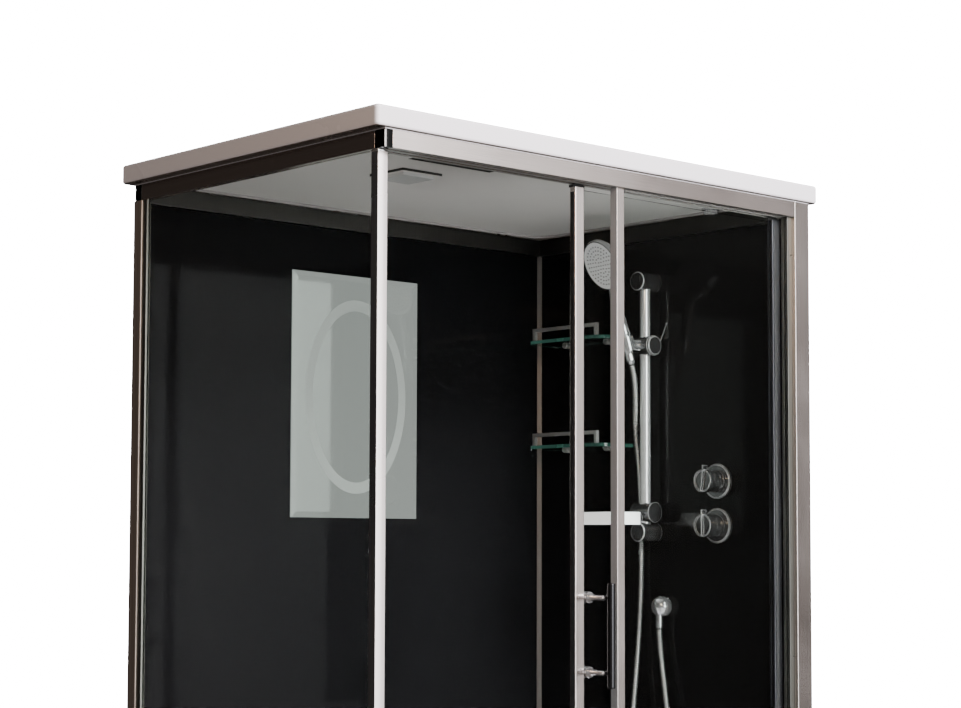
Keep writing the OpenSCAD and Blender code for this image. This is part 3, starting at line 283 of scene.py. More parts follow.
def smooth_line(points, steps):
    """A curve through all the points, as many short steps."""
    points = [Vector(p) for p in points]
    points = [2 * points[0] - points[1]] + points + [2 * points[-1] - points[-2]]
    line = []
    for a, b, c, d in zip(points, points[1:], points[2:], points[3:]):
        for k in range(steps):
            t = k / steps
            line.append(0.5 * (2 * b + (c - a) * t + (2 * a - 5 * b + 4 * c - d) * t ** 2
                               + (3 * b - a - 3 * c + d) * t ** 3))
    return line + [points[-2]]


hose_line = smooth_line(HOSE_ROUTE, ROUTE_STEPS)
hose_length = sum((b - a).length for a, b in zip(hose_line, hose_line[1:]))
print("hose length:", round(hose_length), "mm")

# %% Walk along a line by distance
def walk(line, distances):
    """Points along the line at the given distances from its start, with their directions."""
    found = []
    passed = 0
    i = 0
    for want in distances:
        while i < len(line) - 2 and passed + (line[i + 1] - line[i]).length < want:
            passed += (line[i + 1] - line[i]).length
            i += 1
        step = line[i + 1] - line[i]
        found.append((line[i] + step * min(1, (want - passed) / step.length), step.normalized()))
    return found


print("middle of the hose:", walk(hose_line, [hose_length / 2])[0][0])

# %% [markdown]
# The tube is a chain of rings that follow the route without twisting. Each point also keeps how deep it
# lies in a groove, from 0 on a ridge to 1 at the bottom, so that the finish can paint shade into the
# grooves.

# %% Sweep the ridged tube
def swept_tube(name, line, profile, sides):
    """A tube along line. profile is a list of (distance along, radius); the ends are closed."""
    mesh = bmesh.new()
    rings = []
    side = None
    for (point, ahead), (_, radius) in zip(walk(line, [p[0] for p in profile]), profile):
        side = ahead.cross(Vector((1, 0, 0))).normalized() if side is None else (
            side - ahead * side.dot(ahead)).normalized()
        other = ahead.cross(side)
        ring = []
        for k in range(sides):
            angle = 2 * math.pi * k / sides
            out = side * math.cos(angle) + other * math.sin(angle)
            ring.append(mesh.verts.new(place(*(point + out * radius))))
        rings.append(ring)
    for a, b in zip(rings, rings[1:]):
        for k in range(sides):
            mesh.faces.new((a[k], a[(k + 1) % sides], b[(k + 1) % sides], b[k]))
    mesh.faces.new(list(reversed(rings[0])))
    mesh.faces.new(rings[-1])
    bmesh.ops.recalc_face_normals(mesh, faces=mesh.faces)
    data = bpy.data.meshes.new(name)
    mesh.to_mesh(data)
    mesh.free()
    widest = max(radius for _, radius in profile)
    narrowest = min(radius for _, radius in profile)
    groove = data.attributes.new("groove", "FLOAT", "POINT")
    for k, (_, radius) in enumerate(profile):
        for corner in range(k * sides, (k + 1) * sides):
            groove.data[corner].value = (widest - radius) / (widest - narrowest)
    tube = bpy.data.objects.new(name, data)
    bpy.context.scene.collection.objects.link(tube)
    return tube


print("tube helper ready")

# %% Ridges of the hose
RIDGE = 4.4
RIDGE_SHAPE = [(0.16, 6.05), (0.4, 6.45), (0.64, 6.45), (0.88, 6.05)]
GROOVE_RADIUS = 5.3
PLAIN_END = 4
END_RADIUS = HOSE_WIDTH / 2 - 0.2
HOSE_SIDES = 20
ridges = int((hose_length - 2 * PLAIN_END) / RIDGE)
profile = [(0, END_RADIUS)]
for i in range(ridges):
    start = PLAIN_END + i * RIDGE
    profile.append((start, GROOVE_RADIUS))
    profile += [(start + share * RIDGE, radius) for share, radius in RIDGE_SHAPE]
profile += [(hose_length - PLAIN_END, GROOVE_RADIUS), (hose_length, END_RADIUS)]
hose = swept_tube("hose_wound_steel", hose_line, profile, HOSE_SIDES)
for polygon in hose.data.polygons:
    polygon.use_smooth = True
print("ridges on the hose:", ridges)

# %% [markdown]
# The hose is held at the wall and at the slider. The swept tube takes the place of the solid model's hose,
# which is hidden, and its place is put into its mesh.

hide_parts("shower_hose")
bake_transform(hose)

# %% [markdown]
# ## The spray face
# The water leaves through rings of soft nozzles in a thin disc. A disc is easy to shape from a cylinder: its
# front is inset a few times, and a small move after an inset makes a groove or a rim. One nozzle is modelled
# for the middle, and copies of it stand on five circles. The disc leans like the hand shower's head, so
# everything is placed along the disc's own axis.

# %% Axis of the spray face
FACE_MIDDLE = Vector((995.93, 434.35, 1998.47))
FACE_OUT = Vector((-0.8925, 0.1574, -0.4226)).normalized()
FACE_RADIUS = 55.8
face_turn = FACE_OUT.to_track_quat("Z", "Y")


def on_face(x, y, out):
    """A place on the disc: x and y across it, out in front of it, in millimetres."""
    return place(*(FACE_MIDDLE + face_turn @ Vector((x, y, out))))


print("spray face leans", round(math.degrees(FACE_OUT.angle(Vector((-1, 0, 0)))), 1), "degrees")

# %% Into edit mode and out of it
SMOOTH_ANGLE = 35


def edit(piece, mode):
    """Goes into edit mode on one piece with nothing selected in it."""
    deselect()
    piece.select_set(True)
    bpy.context.view_layer.objects.active = piece
    bpy.ops.object.mode_set(mode="EDIT")
    bpy.ops.mesh.select_mode(type=mode)
    bpy.ops.mesh.select_all(action="DESELECT")
    return bmesh.from_edit_mesh(piece.data)


def settle(piece):
    """Leaves edit mode and puts the place into the mesh."""
    deselect()
    piece.select_set(True)
    bpy.context.view_layer.objects.active = piece
    bpy.ops.object.transform_apply(location=True, rotation=True, scale=True)
    bpy.ops.object.shade_smooth_by_angle(angle=math.radians(SMOOTH_ANGLE))


print("edit helpers ready")

# %% Step inwards on the end of a piece
def step_in(piece, *steps):
    """Insets the end that faces up the piece's own axis. A step is how far in, and how far out in front."""
    mesh = edit(piece, "FACE")
    for side in mesh.faces:
        side.select_set(side.normal.z > 0.9)
    bmesh.update_edit_mesh(piece.data)
    for inwards, out in steps:
        bpy.ops.mesh.inset(thickness=inwards)
        if out:
            bpy.ops.transform.translate(value=FACE_OUT * out)
    settle(piece)


print("step helper ready")

# %% Disc with a raised rim
DISC_DEPTH = 2.5
OUTER_STEP = (0.0006, 0)
GROOVE_STEP = (0.0032, -0.0008)
RIM_STEP = (0.0008, 0.0006)
FLAT_STEP = (0.012, 0)
deselect()
bpy.ops.mesh.primitive_cylinder_add(vertices=96, radius=FACE_RADIUS / 1000, depth=DISC_DEPTH / 1000,
                                    location=on_face(0, 0, -DISC_DEPTH / 2), rotation=face_turn.to_euler())
spray_face = bpy.context.object
spray_face.name = "spray_face"
step_in(spray_face, OUTER_STEP, GROOVE_STEP, RIM_STEP, FLAT_STEP)
print("disc:", len(spray_face.data.polygons), "faces")

# %% Nozzles
NOZZLE_BASE = 0.0019
NOZZLE_TIP = 0.0012
NOZZLE_HEIGHT = 0.0016
HOLE_STEP = (0.0005, -0.0008)
NOZZLE_RINGS = [(9 * ring, 6 * ring) for ring in range(1, 6)]
deselect()
bpy.ops.mesh.primitive_cone_add(vertices=12, radius1=NOZZLE_BASE, radius2=NOZZLE_TIP, depth=NOZZLE_HEIGHT,
                                location=on_face(0, 0, 0.3), rotation=face_turn.to_euler())
nozzle = bpy.context.object
nozzle.name = "nozzle"
step_in(nozzle, HOLE_STEP)
copies = []
for radius, count in NOZZLE_RINGS:
    for k in range(count):
        angle = 2 * math.pi * k / count
        copy = nozzle.copy()
        copy.data = nozzle.data.copy()
        bpy.context.scene.collection.objects.link(copy)
        copy.location = on_face(radius * math.cos(angle), radius * math.sin(angle), 0) - on_face(0, 0, 0)
        copies.append(copy)
print("nozzles:", len(copies) + 1)

# %% Join the nozzles and declare both pieces
deselect()
for copy in copies + [nozzle]:
    copy.select_set(True)
bpy.context.view_layer.objects.active = nozzle
bpy.ops.object.join()
settle(nozzle)
nozzle.name = "spray_nozzles"
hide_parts("handset_face")
for piece in (spray_face, nozzle):
    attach(piece, "hand_shower")
print("nozzles joined:", len(nozzle.data.polygons), "faces")

# %% [markdown]
# ## The collar on the front post
# Where the slim post meets the black corner, a thin chrome collar hides the cut end of the profile. The post
# has a bowed front, so the collar starts as a wide disc, and three cuts leave the piece round the post. Its
# sharp edges are then bevelled. Sizes are in metres, as the operators take them.

# %% Collar
COLLAR_RADIUS = 0.0306
COLLAR_HEIGHT = 0.005
COLLAR_BEVEL = 0.0008
SHARP_ANGLE = 1.0
COLLAR_CUTS = [
    (place(-0.6, 0, 0), (-1, 0, 0)),
    (place(22.6, 0, 0), (1, 0, 0)),
    (place(0, 38.6, 0), (0, 1, 0)),
]
deselect()
bpy.ops.mesh.primitive_cylinder_add(vertices=192, radius=COLLAR_RADIUS, depth=COLLAR_HEIGHT,
                                    location=place(11, 48, 2074.3))
collar = bpy.context.object
collar.name = "post_collar"
for cut, outwards in COLLAR_CUTS:
    edit(collar, "VERT")
    bpy.ops.mesh.select_all(action="SELECT")
    bpy.ops.mesh.bisect(plane_co=cut, plane_no=outwards, use_fill=True, clear_outer=True)
mesh = edit(collar, "EDGE")
for line in mesh.edges:
    line.select_set(len(line.link_faces) == 2 and line.calc_face_angle() > SHARP_ANGLE)
bmesh.update_edit_mesh(collar.data)
bpy.ops.mesh.bevel(offset=COLLAR_BEVEL, segments=3)
settle(collar)
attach(collar, "cabin")
print("collar:", len(collar.data.polygons), "faces")

# %% [markdown]
# ## Shared effects
# Two effects come back on most finishes, so each is built once as a node group. Streaks are the fine lines
# that brushing or extrusion leaves in metal. Smudges are the soft uneven patches that change how shiny a
# surface is from place to place.

# %% Node group helper
def new_group(name, settings, results):
    """A group that takes a Vector and some settings. Gives its bench, its inputs and its outputs."""
    group = bpy.data.node_groups.new(name, "ShaderNodeTree")
    group.interface.new_socket("Vector", in_out="INPUT", socket_type="NodeSocketVector")
    for label, value in settings.items():
        socket = group.interface.new_socket(label, in_out="INPUT", socket_type="NodeSocketFloat")
        socket.default_value = value
    for label in results:
        group.interface.new_socket(label, in_out="OUTPUT", socket_type="NodeSocketFloat")
    bench = NodeBench(group)
    return bench, group.nodes.new("NodeGroupInput").outputs, group.nodes.new("NodeGroupOutput").inputs


print("group helper ready")

# %% Streaks
streaks, given, wanted = new_group("streaks", {"Fineness": 1.0}, ["Lines"])
noise = streaks.add("TexNoise", Vector=given["Vector"], Scale=given["Fineness"], Detail=4, Roughness=0.65)
streaks.feed(wanted["Lines"], noise.outputs["Fac"])
print("streaks:", len(streaks.tree.nodes), "nodes")

# %% Smudges
smudges, given, wanted = new_group("smudges", {"Size": 6.0, "Low": 0.2, "High": 0.3}, ["Value", "Mask"])
noise = smudges.add("TexNoise", Vector=given["Vector"], Scale=given["Size"], Detail=5, Distortion=0.6)
smudges.feed(wanted["Value"], smudges.ramp(noise.outputs["Fac"], 0.3, 0.7, given["Low"], given["High"]))
smudges.feed(wanted["Mask"], noise.outputs["Fac"])
print("smudges:", len(smudges.tree.nodes), "nodes")

# %% [markdown]
# ### Which way a surface faces
# Some finishes change with the direction of the face: an underside is darker, and a sharp edge catches the
# light. The true direction and one with its edges rounded agree on flat faces and differ only at the edges,
# so comparing the two finds the edges.

# %% Which way a surface faces
EDGE = 0.002


def pointing(bench, axis):
    """How far the surface points along an axis, from -1 to 1."""
    return bench.part_of(bench.add("NewGeometry").outputs["Normal"], axis)


def rounded(bench, radius):
    """The surface's direction as if its sharp edges were rounded."""
    node = bench.add("Bevel", Radius=radius)
    node.samples = 4
    return node.outputs["Normal"]


def edges(bench, radius):
    """1 along sharp edges and 0 on flat or evenly curved faces."""
    agreement = bench.dot(rounded(bench, radius), bench.add("NewGeometry").outputs["Normal"])
    return bench.ramp(agreement, 0.98, 0.92, 0.0, 1.0)


print("face helpers ready")

# %% [markdown]
# ## Finishes
# Every finish starts the same way: one shader with its plain values, a place for the pattern, and smudges
# in its shine. What makes each finish its own is added after that. Colours are given as six-digit codes.

# %% Colour codes
def linear(code):
    """A colour code such as D8CDC9 as the shader's red, green and blue."""
    values = [int(code[i:i + 2], 16) / 255 for i in (0, 2, 4)]
    return tuple(v / 12.92 if v <= 0.04045 else ((v + 0.055) / 1.055) ** 2.4 for v in values) + (1,)


print("middle grey:", [round(v, 3) for v in linear("808080")])

# %% Base of a finish
class Finish(NodeBench):
    """A material with one shader, and short ways to give it colour, shine and relief."""

    def __init__(self, name, code, metallic=0.0, roughness=0.4):
        self.material = bpy.data.materials.new(name)
        self.material.use_nodes = True
        super().__init__(self.material.node_tree)
        self.colour = linear(code)
        self.out = self.add("OutputMaterial")
        self.shader = self.add("BsdfPrincipled")
        self.set(Base_Color=self.colour, Metallic=metallic, Roughness=roughness)
        self.feed(self.out.inputs["Surface"], self.shader.outputs["BSDF"])
        self.object = self.add("TexCoord").outputs["Object"]

    def set(self, **values):
        """Feeds the shader's own inputs."""
        self.fill(self.shader, **values)

    def paint(self, factor, code, kind="MIX"):
        """Puts another colour over the one so far, where the factor is 1."""
        self.colour = self.mix(factor, self.colour, linear(code), kind)
        self.set(Base_Color=self.colour)

    def glow(self, colour):
        """A little light of its own, for light that the real piece passes on."""
        self.set(Emission_Color=colour, Emission_Strength=1.0)

    def group(self, bench, vector, **values):
        node = self.tree.nodes.new("ShaderNodeGroup")
        node.node_tree = bench.tree
        self.fill(node, Vector=vector, **values)
        return node

    def shine(self, low, high, size):
        """Roughness from low to high in soft patches. Gives the patches."""
        node = self.group(smudges, self.object, Size=size, Low=low, High=high)
        self.set(Roughness=node.outputs["Value"])
        return node.outputs["Mask"]

    def grain(self, scale, detail=2.0):
        return self.add("TexNoise", Vector=self.object, Scale=scale, Detail=detail).outputs["Fac"]

    def relief(self, height, strength, distance, edge=0.0):
        """Presses a height into the surface. With an edge, sharp edges look rounded by that much."""
        node = self.add("Bump", Height=height, Strength=strength, Distance=distance)
        if edge:
            self.feed(node.inputs["Normal"], rounded(self, edge))
        self.set(Normal=node.outputs["Normal"])

    def patchy(self, low, high, size, strength=0.02, distance=0.0004, edge=0.0):
        """Patches in the shine, with a trace of them in the relief."""
        self.relief(self.shine(low, high, size), strength, distance, edge)


print("finish helper ready")

# %% Dress parts by name
dressed = {}


def wear(finish, *names):
    """Puts a finish on parts, by name."""
    for name in names:
        obj = parts[name] if name in parts else bpy.data.objects[name]
        if not obj.material_slots:
            obj.data.materials.append(finish.material)
        for material_slot in obj.material_slots:
            material_slot.material = finish.material
        dressed[name] = finish.material.name


print("parts to dress:", len(parts))

# %% [markdown]
# ### Anodised aluminium
# The frame is extruded, brushed and anodised in a warm champagne grey. The lines run along each profile,
# so there is one version for every direction. They come from noise that is stretched along one axis. The
# streaks change the colour a little, and press very shallow grooves into the surface. Two helpers paint
# light and shade by the way a face points: a rail's underside gets a darker colour and hardly mirrors,
# which is painted shade, and an upright's left and right faces get a bluish tint, which is painted light.

# %% Faces of a profile
DOWN_TO_SIDE = (-0.9, -0.7)
FRONT_TO_SIDE = (0.6, 0.9)
PAINTED_SIDE_TINT = "D2DEE6"


def shaded_dull_underside(finish, code, metal):
    """Painted shade: the underside takes the given darker colour and hardly mirrors."""
    downward = pointing(finish, "Z")
    finish.paint(finish.ramp(downward, *DOWN_TO_SIDE, 1.0, 0.0), code)
    finish.set(Metallic=finish.ramp(downward, *DOWN_TO_SIDE, 0.05, metal))


def painted_cool_sides(finish, metal, side_metal):
    """Painted light: the faces to the left and right get a bluish tint, and have their own share of metal.
    """
    sideways = finish.calc("ABSOLUTE", pointing(finish, "X"))
    finish.paint(finish.ramp(sideways, *FRONT_TO_SIDE, 0.0, 1.0), PAINTED_SIDE_TINT, "MULTIPLY")
    finish.set(Metallic=finish.ramp(sideways, *FRONT_TO_SIDE, metal, side_metal))


print("profile helpers ready")

# %% Aluminium, one version per direction
LINES_ACROSS = 620
LINES_ALONG = 5


def aluminium(name, along, light, dark, low=0.18, high=0.27, metal=1.0, sides=None, below=None):
    """sides is the metal of the left and right faces, with a painted tint; below is the underside's painted
    shade.
    """
    finish = Finish(name, light, metallic=metal)
    scale = [LINES_ALONG if axis == along else LINES_ACROSS for axis in "xyz"]
    vector = finish.add("Mapping", Vector=finish.object, Scale=scale).outputs["Vector"]
    lines = finish.group(streaks, vector, Fineness=1.0).outputs["Lines"]
    finish.paint(lines, dark)
    # Painted light and shade by face direction: a bluish tint on the sides and a darker underside.
    if sides is not None:
        painted_cool_sides(finish, metal, sides)
    if below is not None:
        shaded_dull_underside(finish, below, metal)
    finish.shine(low, high, 3.0)
    finish.relief(lines, 0.12, 0.0003, edge=0.0012)
    return finish


print("aluminium helper ready")

# %% Champagne profiles
front_rail = aluminium("champagne_along_front", "x", "EDE2DE", "D3C7C2", below="B4B3AF")
side_rail = aluminium("champagne_along_side", "y", "DACCC5", "BDAEA6")
upright = aluminium("champagne_upright", "z", "F5EBE7", "DACFCA")
fixed_upright = aluminium("fixed_upright", "z", "F0E6E2", "D5C9C4", sides=0.3)
round_upright = aluminium("round_upright", "z", "F4EEEC", "E2DAD7", 0.25, 0.35, metal=0.35, sides=1.0)
rear_upright = aluminium("rear_upright", "z", "C9BCB2", "AA9D93", 0.3, 0.4, metal=0.75)
wear(front_rail, "top_rail_front", "bottom_rail_front")
wear(side_rail, "side_rails")
wear(upright, "right_front_post", "door_lead_stile")
wear(fixed_upright, "fixed_stile")
wear(round_upright, "corner_post")
wear(rear_upright, "rear_left_post")
print("parts dressed so far:", len(dressed))

# %% Grey profiles
dark_profile = aluminium("dark_profile", "z", "6E6A67", "565250", 0.35, 0.5)
grey_upright = aluminium("grey_upright", "z", "55555A", "3E3E42", 0.3, 0.42)
neutral_upright = aluminium("neutral_upright", "z", "84857F", "6C6D69", 0.3, 0.42)
# Painted shade: the wall's top profiles are a dark grey for the shadow they lie in under the roof.
wall_profile = aluminium("wall_profile", "z", "4A4946", "3A3937", 0.4, 0.5)
wear(dark_profile, "wall_base_profiles", "back_corner_profile")
wear(grey_upright, "door_rear_stile")
wear(neutral_upright, "glazing_profiles")
wear(wall_profile, "wall_top_profiles")
print("parts dressed so far:", len(dressed))

# %% [markdown]
# ### Chrome and plated plastic
# Chrome shows its surroundings like a mirror. In a black cabin that makes it dark with bright lines. The
# plating on plastic is a little softer.

# %% Chrome
CHROME_METAL = 0.86


def chrome(name, code, low, high, metallic=CHROME_METAL, edge=0.0):
    finish = Finish(name, code, metallic=metallic)
    finish.patchy(low, high, 9.0, edge=edge)
    return finish


polished = chrome("polished_chrome", "D5D6D8", 0.04, 0.09)
bar_chrome = chrome("bar_chrome", "F4F4F5", 0.06, 0.12, metallic=0.7)
plated = chrome("plated_plastic", "CBCCCE", 0.08, 0.14)
satin = chrome("satin_steel", "B9B9B8", 0.28, 0.38)
wear(polished, "wall_elbow", "handle_caps", "waste_cover", "post_collar")
wear(bar_chrome, "slide_bar")
wear(plated, "handset_holder", "handset_body", "handset_nut", "ceiling_fitting")
wear(satin, "shelf_rails", "shelf_supports")
print("parts dressed so far:", len(dressed))

# %% [markdown]
# The clamps, the valve plates and the knobs are turned and cast pieces close to the black wall. Their faces
# mirror the black, and their chrome is painted dark as well: a painted reflection. Their rounded edges are
# painted a light, duller chrome: a painted highlight.

# %% Turned chrome with painted highlights on its edges
turned = chrome("turned_chrome", "747476", 0.05, 0.1, edge=EDGE)
bright = edges(turned, EDGE)
# Painted highlight: the rounded edges get a light, less metallic colour.
turned.paint(bright, "EDEDEE")
turned.set(Metallic=turned.ramp(bright, 0.0, 1.0, CHROME_METAL, 0.4))
wear(turned, "bar_brackets", "slider_body", "slider_lever", "soap_slider", "valve_plates")
wear(turned, "upper_knob", "lower_knob")
print("parts dressed so far:", len(dressed))

# %% [markdown]
# The door's handle stands out from the pane on two stems. Its bar is painted almost black, a painted
# reflection of the dark side of the room, while the stems behind it keep the bright chrome. The change lies
# in front of the pane.

# %% Handle
PAINTED_DARK_UP_TO = place(0, -17, 0).y
BRIGHT_FROM = place(0, -15, 0).y
grip = chrome("grip_chrome", "D5D6D8", 0.04, 0.09, edge=EDGE)
# Painted reflection: the bar in front of the pane is painted nearly black.
grip.paint(grip.ramp(grip.part_of(grip.object, "Y"), PAINTED_DARK_UP_TO, BRIGHT_FROM, 1.0, 0.0), "2E2E30")
wear(grip, "door_handle")
print("handle is dark in front of", round(PAINTED_DARK_UP_TO, 4))

# %% [markdown]
# ### Glass
# The panes are clear with a faint green. Light from the lamps has to reach the inside, and a clear pane
# would block it in a path tracer, so the shadow of a pane is see-through.

# %% Glass
GLASS_SHADOW = (0.93, 0.95, 0.94, 1)


def glass(name, code, bending):
    """bending is the index of refraction."""
    finish = Finish(name, code, roughness=0.0)
    finish.set(Transmission_Weight=1.0, IOR=bending)
    finish.relief(finish.grain(2.2, 1.0), 0.02, 0.001)
    clear = finish.add("BsdfTransparent", Color=GLASS_SHADOW)
    by_ray = finish.add("MixShader", Fac=finish.add("LightPath").outputs["Is Shadow Ray"])
    finish.feed(by_ray.inputs[1], finish.shader.outputs["BSDF"])
    finish.feed(by_ray.inputs[2], clear.outputs["BSDF"])
    finish.feed(finish.out.inputs["Surface"], by_ray.outputs["Shader"])
    return finish


pane = glass("clear_pane", "F8FAF9", 1.1)
wear(pane, "side_glass", "fixed_glass", "door_glass")
print("parts dressed so far:", len(dressed))

# %% [markdown]
# The shelves are thick float glass. Looking into their edges, the light has passed a long way through the
# glass, so the edges are a strong green while the tops are almost clear. A trace of glow in the edges
# stands for the light that travels inside the glass.

# %% Shelf glass
NO_GLOW = (0, 0, 0, 1)
GREEN_GLOW = (0.012, 0.03, 0.024, 1)
shelf = glass("shelf_glass_green", "6FA596", 1.45)
flat = shelf.calc("ABSOLUTE", pointing(shelf, "Z"))
shelf.paint(flat, "DCEFE9")
upright_edge = shelf.ramp(flat, 0.0, 1.0, 1.0, 0.0)
shelf.glow(shelf.mix(upright_edge, NO_GLOW, GREEN_GLOW))
wear(shelf, "shelf_glass")
print("parts dressed so far:", len(dressed))

# %% [markdown]
# ### Black walls
# The walls are panes painted black on the back. They mirror at a low angle and are nearly black when seen
# straight on. The wet wall mirrors a little more. From behind, the paint itself shows: a matt dark grey.

# %% Black wall glass
def painted_glass(name, mirroring):
    """mirroring is how strongly the front mirrors. The outer faces, right and back, are the paint."""
    wall = Finish(name, "0F0F10")
    wall.patchy(0.04, 0.10, 1.4, distance=0.002)
    wall.set(Specular_IOR_Level=mirroring)
    outer_faces = [wall.ramp(pointing(wall, axis), 0.6, 0.8, 0.0, 1.0) for axis in "XY"]
    wall.paint(wall.calc("MAXIMUM", *outer_faces), "4A4B4D")
    return wall


wear(painted_glass("black_wall", 0.06), "back_wall_panel")
wear(painted_glass("black_wet_wall", 0.16), "right_wall_panel")
print("parts dressed so far:", len(dressed))

# %% [markdown]
# ### The mirror
# Its silvering shows through clear glass with a polished slope all round. An oval band is etched into the
# face. The band is matt, so it scatters light and looks lighter. It is found from the place on the face:
# a point is in the band if it lies between two ovals. Their half widths and half heights are in metres.

# %% Mirror
MIRROR_MIDDLE = place(582, 799, 1698)
OUTER_OVAL = (0.144, 0.2184)
INNER_OVAL = (0.123, 0.1934)
silver = Finish("silver_mirror", "505451", metallic=0.85)
across = silver.calc("SUBTRACT", silver.part_of(silver.object, "X"), MIRROR_MIDDLE.x)
up = silver.calc("SUBTRACT", silver.part_of(silver.object, "Z"), MIRROR_MIDDLE.z)


def inside_oval(half_width, half_height):
    """1 inside the oval and 0 outside it."""
    squares = [silver.calc("POWER", silver.calc("ABSOLUTE", silver.calc("DIVIDE", distance, half)), 2)
               for distance, half in ((across, half_width), (up, half_height))]
    return silver.calc("LESS_THAN", silver.calc("ADD", *squares), 1)


band = silver.calc("SUBTRACT", inside_oval(*OUTER_OVAL), inside_oval(*INNER_OVAL))
silver.paint(band, "5E625F")
silver.set(Roughness=silver.ramp(band, 0.0, 1.0, 0.04, 0.6))
# Painted light: a grey glow stands for the bright room that the mirror shows.
silver.glow(linear("929894"))
wear(silver, "wall_mirror")
print("mirror's middle:", MIRROR_MIDDLE)

# %% [markdown]
# ### Plastics
# Roof and tray are glossy white acrylic with a warm tint. The ceiling is a satin sheet with a fine grain.
# The small black and grey pieces are moulded, and their moulds leave a fine grain too.

# %% Plastics
def plastic(name, code, low, high, grain=0.0, fine=400.0, edge=0.0):
    """grain is how deep a fine grain lies. Without one there are only soft patches."""
    finish = Finish(name, code)
    if grain:
        finish.shine(low, high, 4.0)
        finish.relief(finish.grain(fine), grain, 0.0004, edge)
    else:
        finish.patchy(low, high, 4.0, edge=edge)
    return finish


wear(plastic("white_acrylic", "F4EFF3", 0.22, 0.34, edge=0.003), "shower_tray", "tray_apron")
wear(plastic("satin_ceiling", "CBCAC6", 0.35, 0.5, grain=0.08), "ceiling_panel")
wear(plastic("milky_lens", "CFD2D0", 0.12, 0.2), "lamp_lens")
wear(plastic("pipe_plastic", "D8D8D6", 0.4, 0.55, grain=0.05), "waste_trap")
wear(plastic("satin_black", "1B1B1B", 0.35, 0.5, grain=0.1), "roller_hangers", "fan_housing", "fan_rotor")
wear(plastic("spray_face_grey", "F4F5F6", 0.3, 0.42, grain=0.06), "spray_face")
wear(plastic("nozzle_rubber", "5A5C5D", 0.4, 0.5, grain=0.06), "spray_nozzles")
wear(plastic("roller_nylon", "DCDCD8", 0.35, 0.5, grain=0.05), "top_roller_lead", "top_roller_rear",
     "bottom_roller_lead", "bottom_roller_rear")
wear(plastic("seal_strip", "1C1C1D", 0.4, 0.55, grain=0.1), "door_seals")
wear(plastic("studio_floor", "E9E8E6", 0.6, 0.8, grain=0.05, fine=60.0), "floor")
print("parts dressed so far:", len(dressed))

# %% [markdown]
# The soap dish is thin white plastic. Light passes through it and brightens it from inside, which a trace
# of glow stands for.

# %% Soap dish
dish = plastic("soap_dish_white", "F6F6F6", 0.1, 0.2)
dish.glow(linear("C4C3C1"))
wear(dish, "soap_dish")
print("parts dressed so far:", len(dressed))

# %% [markdown]
# The roof is white outside. Its underside and the inner faces of its rim at the back and the right are
# painted a dark brown grey: painted shade, as hardly any light reaches them. The rim is found from its place
# and its direction.

# %% Roof
BACK_RIM = 0.3
RIGHT_RIM = 0.5
RIM_SHADE = 0.72
roof = plastic("roof_acrylic", "F4EFF3", 0.22, 0.34, edge=0.003)


def rim_mask(axis, start):
    """The shade on the rim's inner faces that lie beyond start along the axis, and 0 elsewhere."""
    beyond = roof.ramp(roof.part_of(roof.object, axis), start, start + 0.01, 0.0, 1.0)
    return roof.calc("MULTIPLY", beyond, roof.ramp(pointing(roof, axis), -0.7, -0.6, RIM_SHADE, 0.0))


inner_rim = roof.calc("MAXIMUM", rim_mask("Y", BACK_RIM), rim_mask("X", RIGHT_RIM))
underside = roof.ramp(pointing(roof, "Z"), -0.8, -0.6, 1.0, 0.0)
# Painted shade on the underside and on the rim's inner faces.
roof.paint(roof.calc("MAXIMUM", inner_rim, underside), "4A423D")
wear(roof, "roof_cover")
print("parts dressed so far:", len(dressed))

# %% [markdown]
# The corner pieces are glossy black mouldings. A thin light line is painted along their upright edges: a
# painted highlight. With the edges rounded, the direction there turns from X to Y, and the product of the
# two is largest half way.

# %% Corner pieces
PAINTED_HIGHLIGHT_LINE = (0.455, 0.49)
black = plastic("gloss_black", "060606", 0.06, 0.12)
black.set(Specular_IOR_Level=0.08)
parts_of_turn = [black.calc("ABSOLUTE", black.part_of(rounded(black, EDGE), axis)) for axis in "XY"]
turn = black.calc("MULTIPLY", *parts_of_turn)
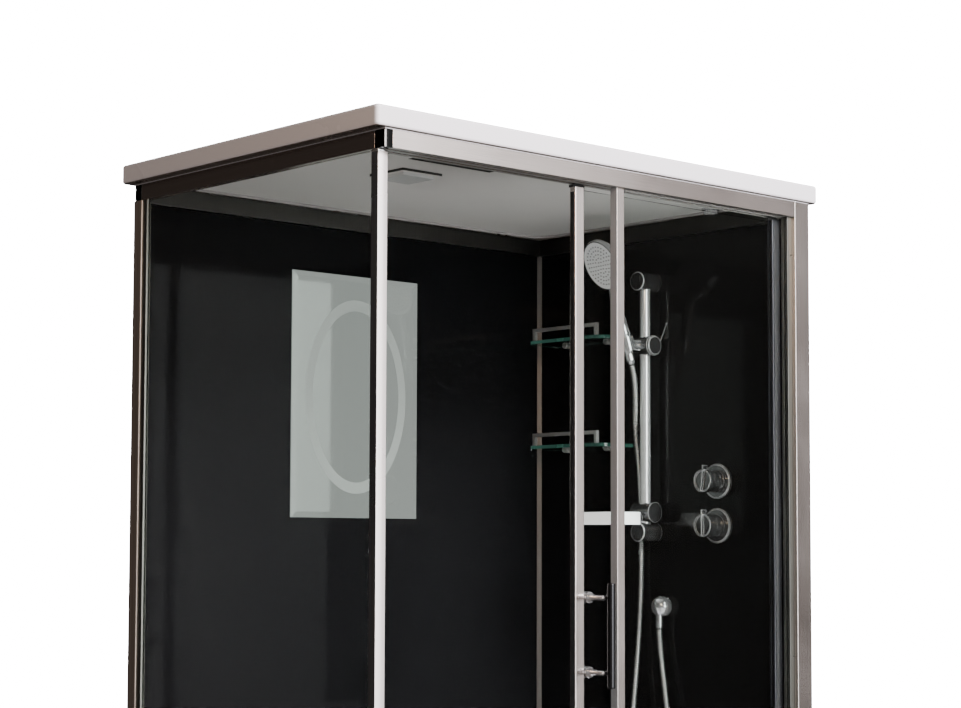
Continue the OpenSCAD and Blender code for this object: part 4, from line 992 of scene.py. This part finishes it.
# Painted highlight: a light line along the rounded upright edges.
black.paint(black.ramp(turn, *PAINTED_HIGHLIGHT_LINE, 0.0, 1.0), "F4F4F4")
wear(black, "corner_connectors")
print("parts dressed so far:", len(dressed))

# %% [markdown]
# The fan's louvres and the lamp's frame are the ceiling's colour where they face down. All their other faces
# are painted nearly black: painted shade, for the dark space over the ceiling that they look into.

# %% Louvres and lamp frame
panel = Finish("ceiling_frame", "CBCAC6")
panel.patchy(0.35, 0.5, 4.0, strength=0.05)
# Painted shade: the faces that don't point down are nearly black.
panel.paint(panel.ramp(pointing(panel, "Z"), -0.95, -0.8, 0.0, 1.0), "232322")
wear(panel, "vent_grille", "lamp_frame")
print("parts dressed so far:", len(dressed))

# %% [markdown]
# ### Zinc and brass
# The legs are zinc coated tube, with the flat crystals that hot zinc leaves: the cells of a Voronoi texture
# give them. The valve body is cast brass, with the grain of its sand mould.

# %% Zinc and brass
zinc = Finish("zinc_coat", "9EA2A6", metallic=1.0)
crystals = zinc.add("TexVoronoi", Vector=zinc.object, Scale=90.0)
zinc.paint(crystals.outputs["Color"], "BDC0C2")
zinc.shine(0.35, 0.55, 20.0)
wear(zinc, "tray_legs")
cast = Finish("cast_brass", "B08D4E", metallic=1.0)
cast.shine(0.35, 0.5, 12.0)
cast.relief(cast.grain(260.0), 0.25, 0.0006)
wear(cast, "mixer_valve")
print("parts dressed so far:", len(dressed))

# %% [markdown]
# ### Hose steel
# The hose is satin steel. Shade gathers in its grooves, so the finish reads how deep a point lies in a
# groove, as the tube was made with, and paints it darker: painted shade.

# %% Hose steel
GROOVE_SHADE = (0.25, 0.8)
hose_steel = chrome("hose_steel", "C6C6C5", 0.2, 0.3)
groove = hose_steel.add("Attribute")
groove.attribute_name = "groove"
# Painted shade in the grooves.
hose_steel.paint(hose_steel.ramp(groove.outputs["Fac"], *GROOVE_SHADE, 0.0, 1.0), "2A2A2A")
wear(hose_steel, "hose_wound_steel")
print("parts without a finish, which others replace:", sorted(set(parts) - set(dressed)))
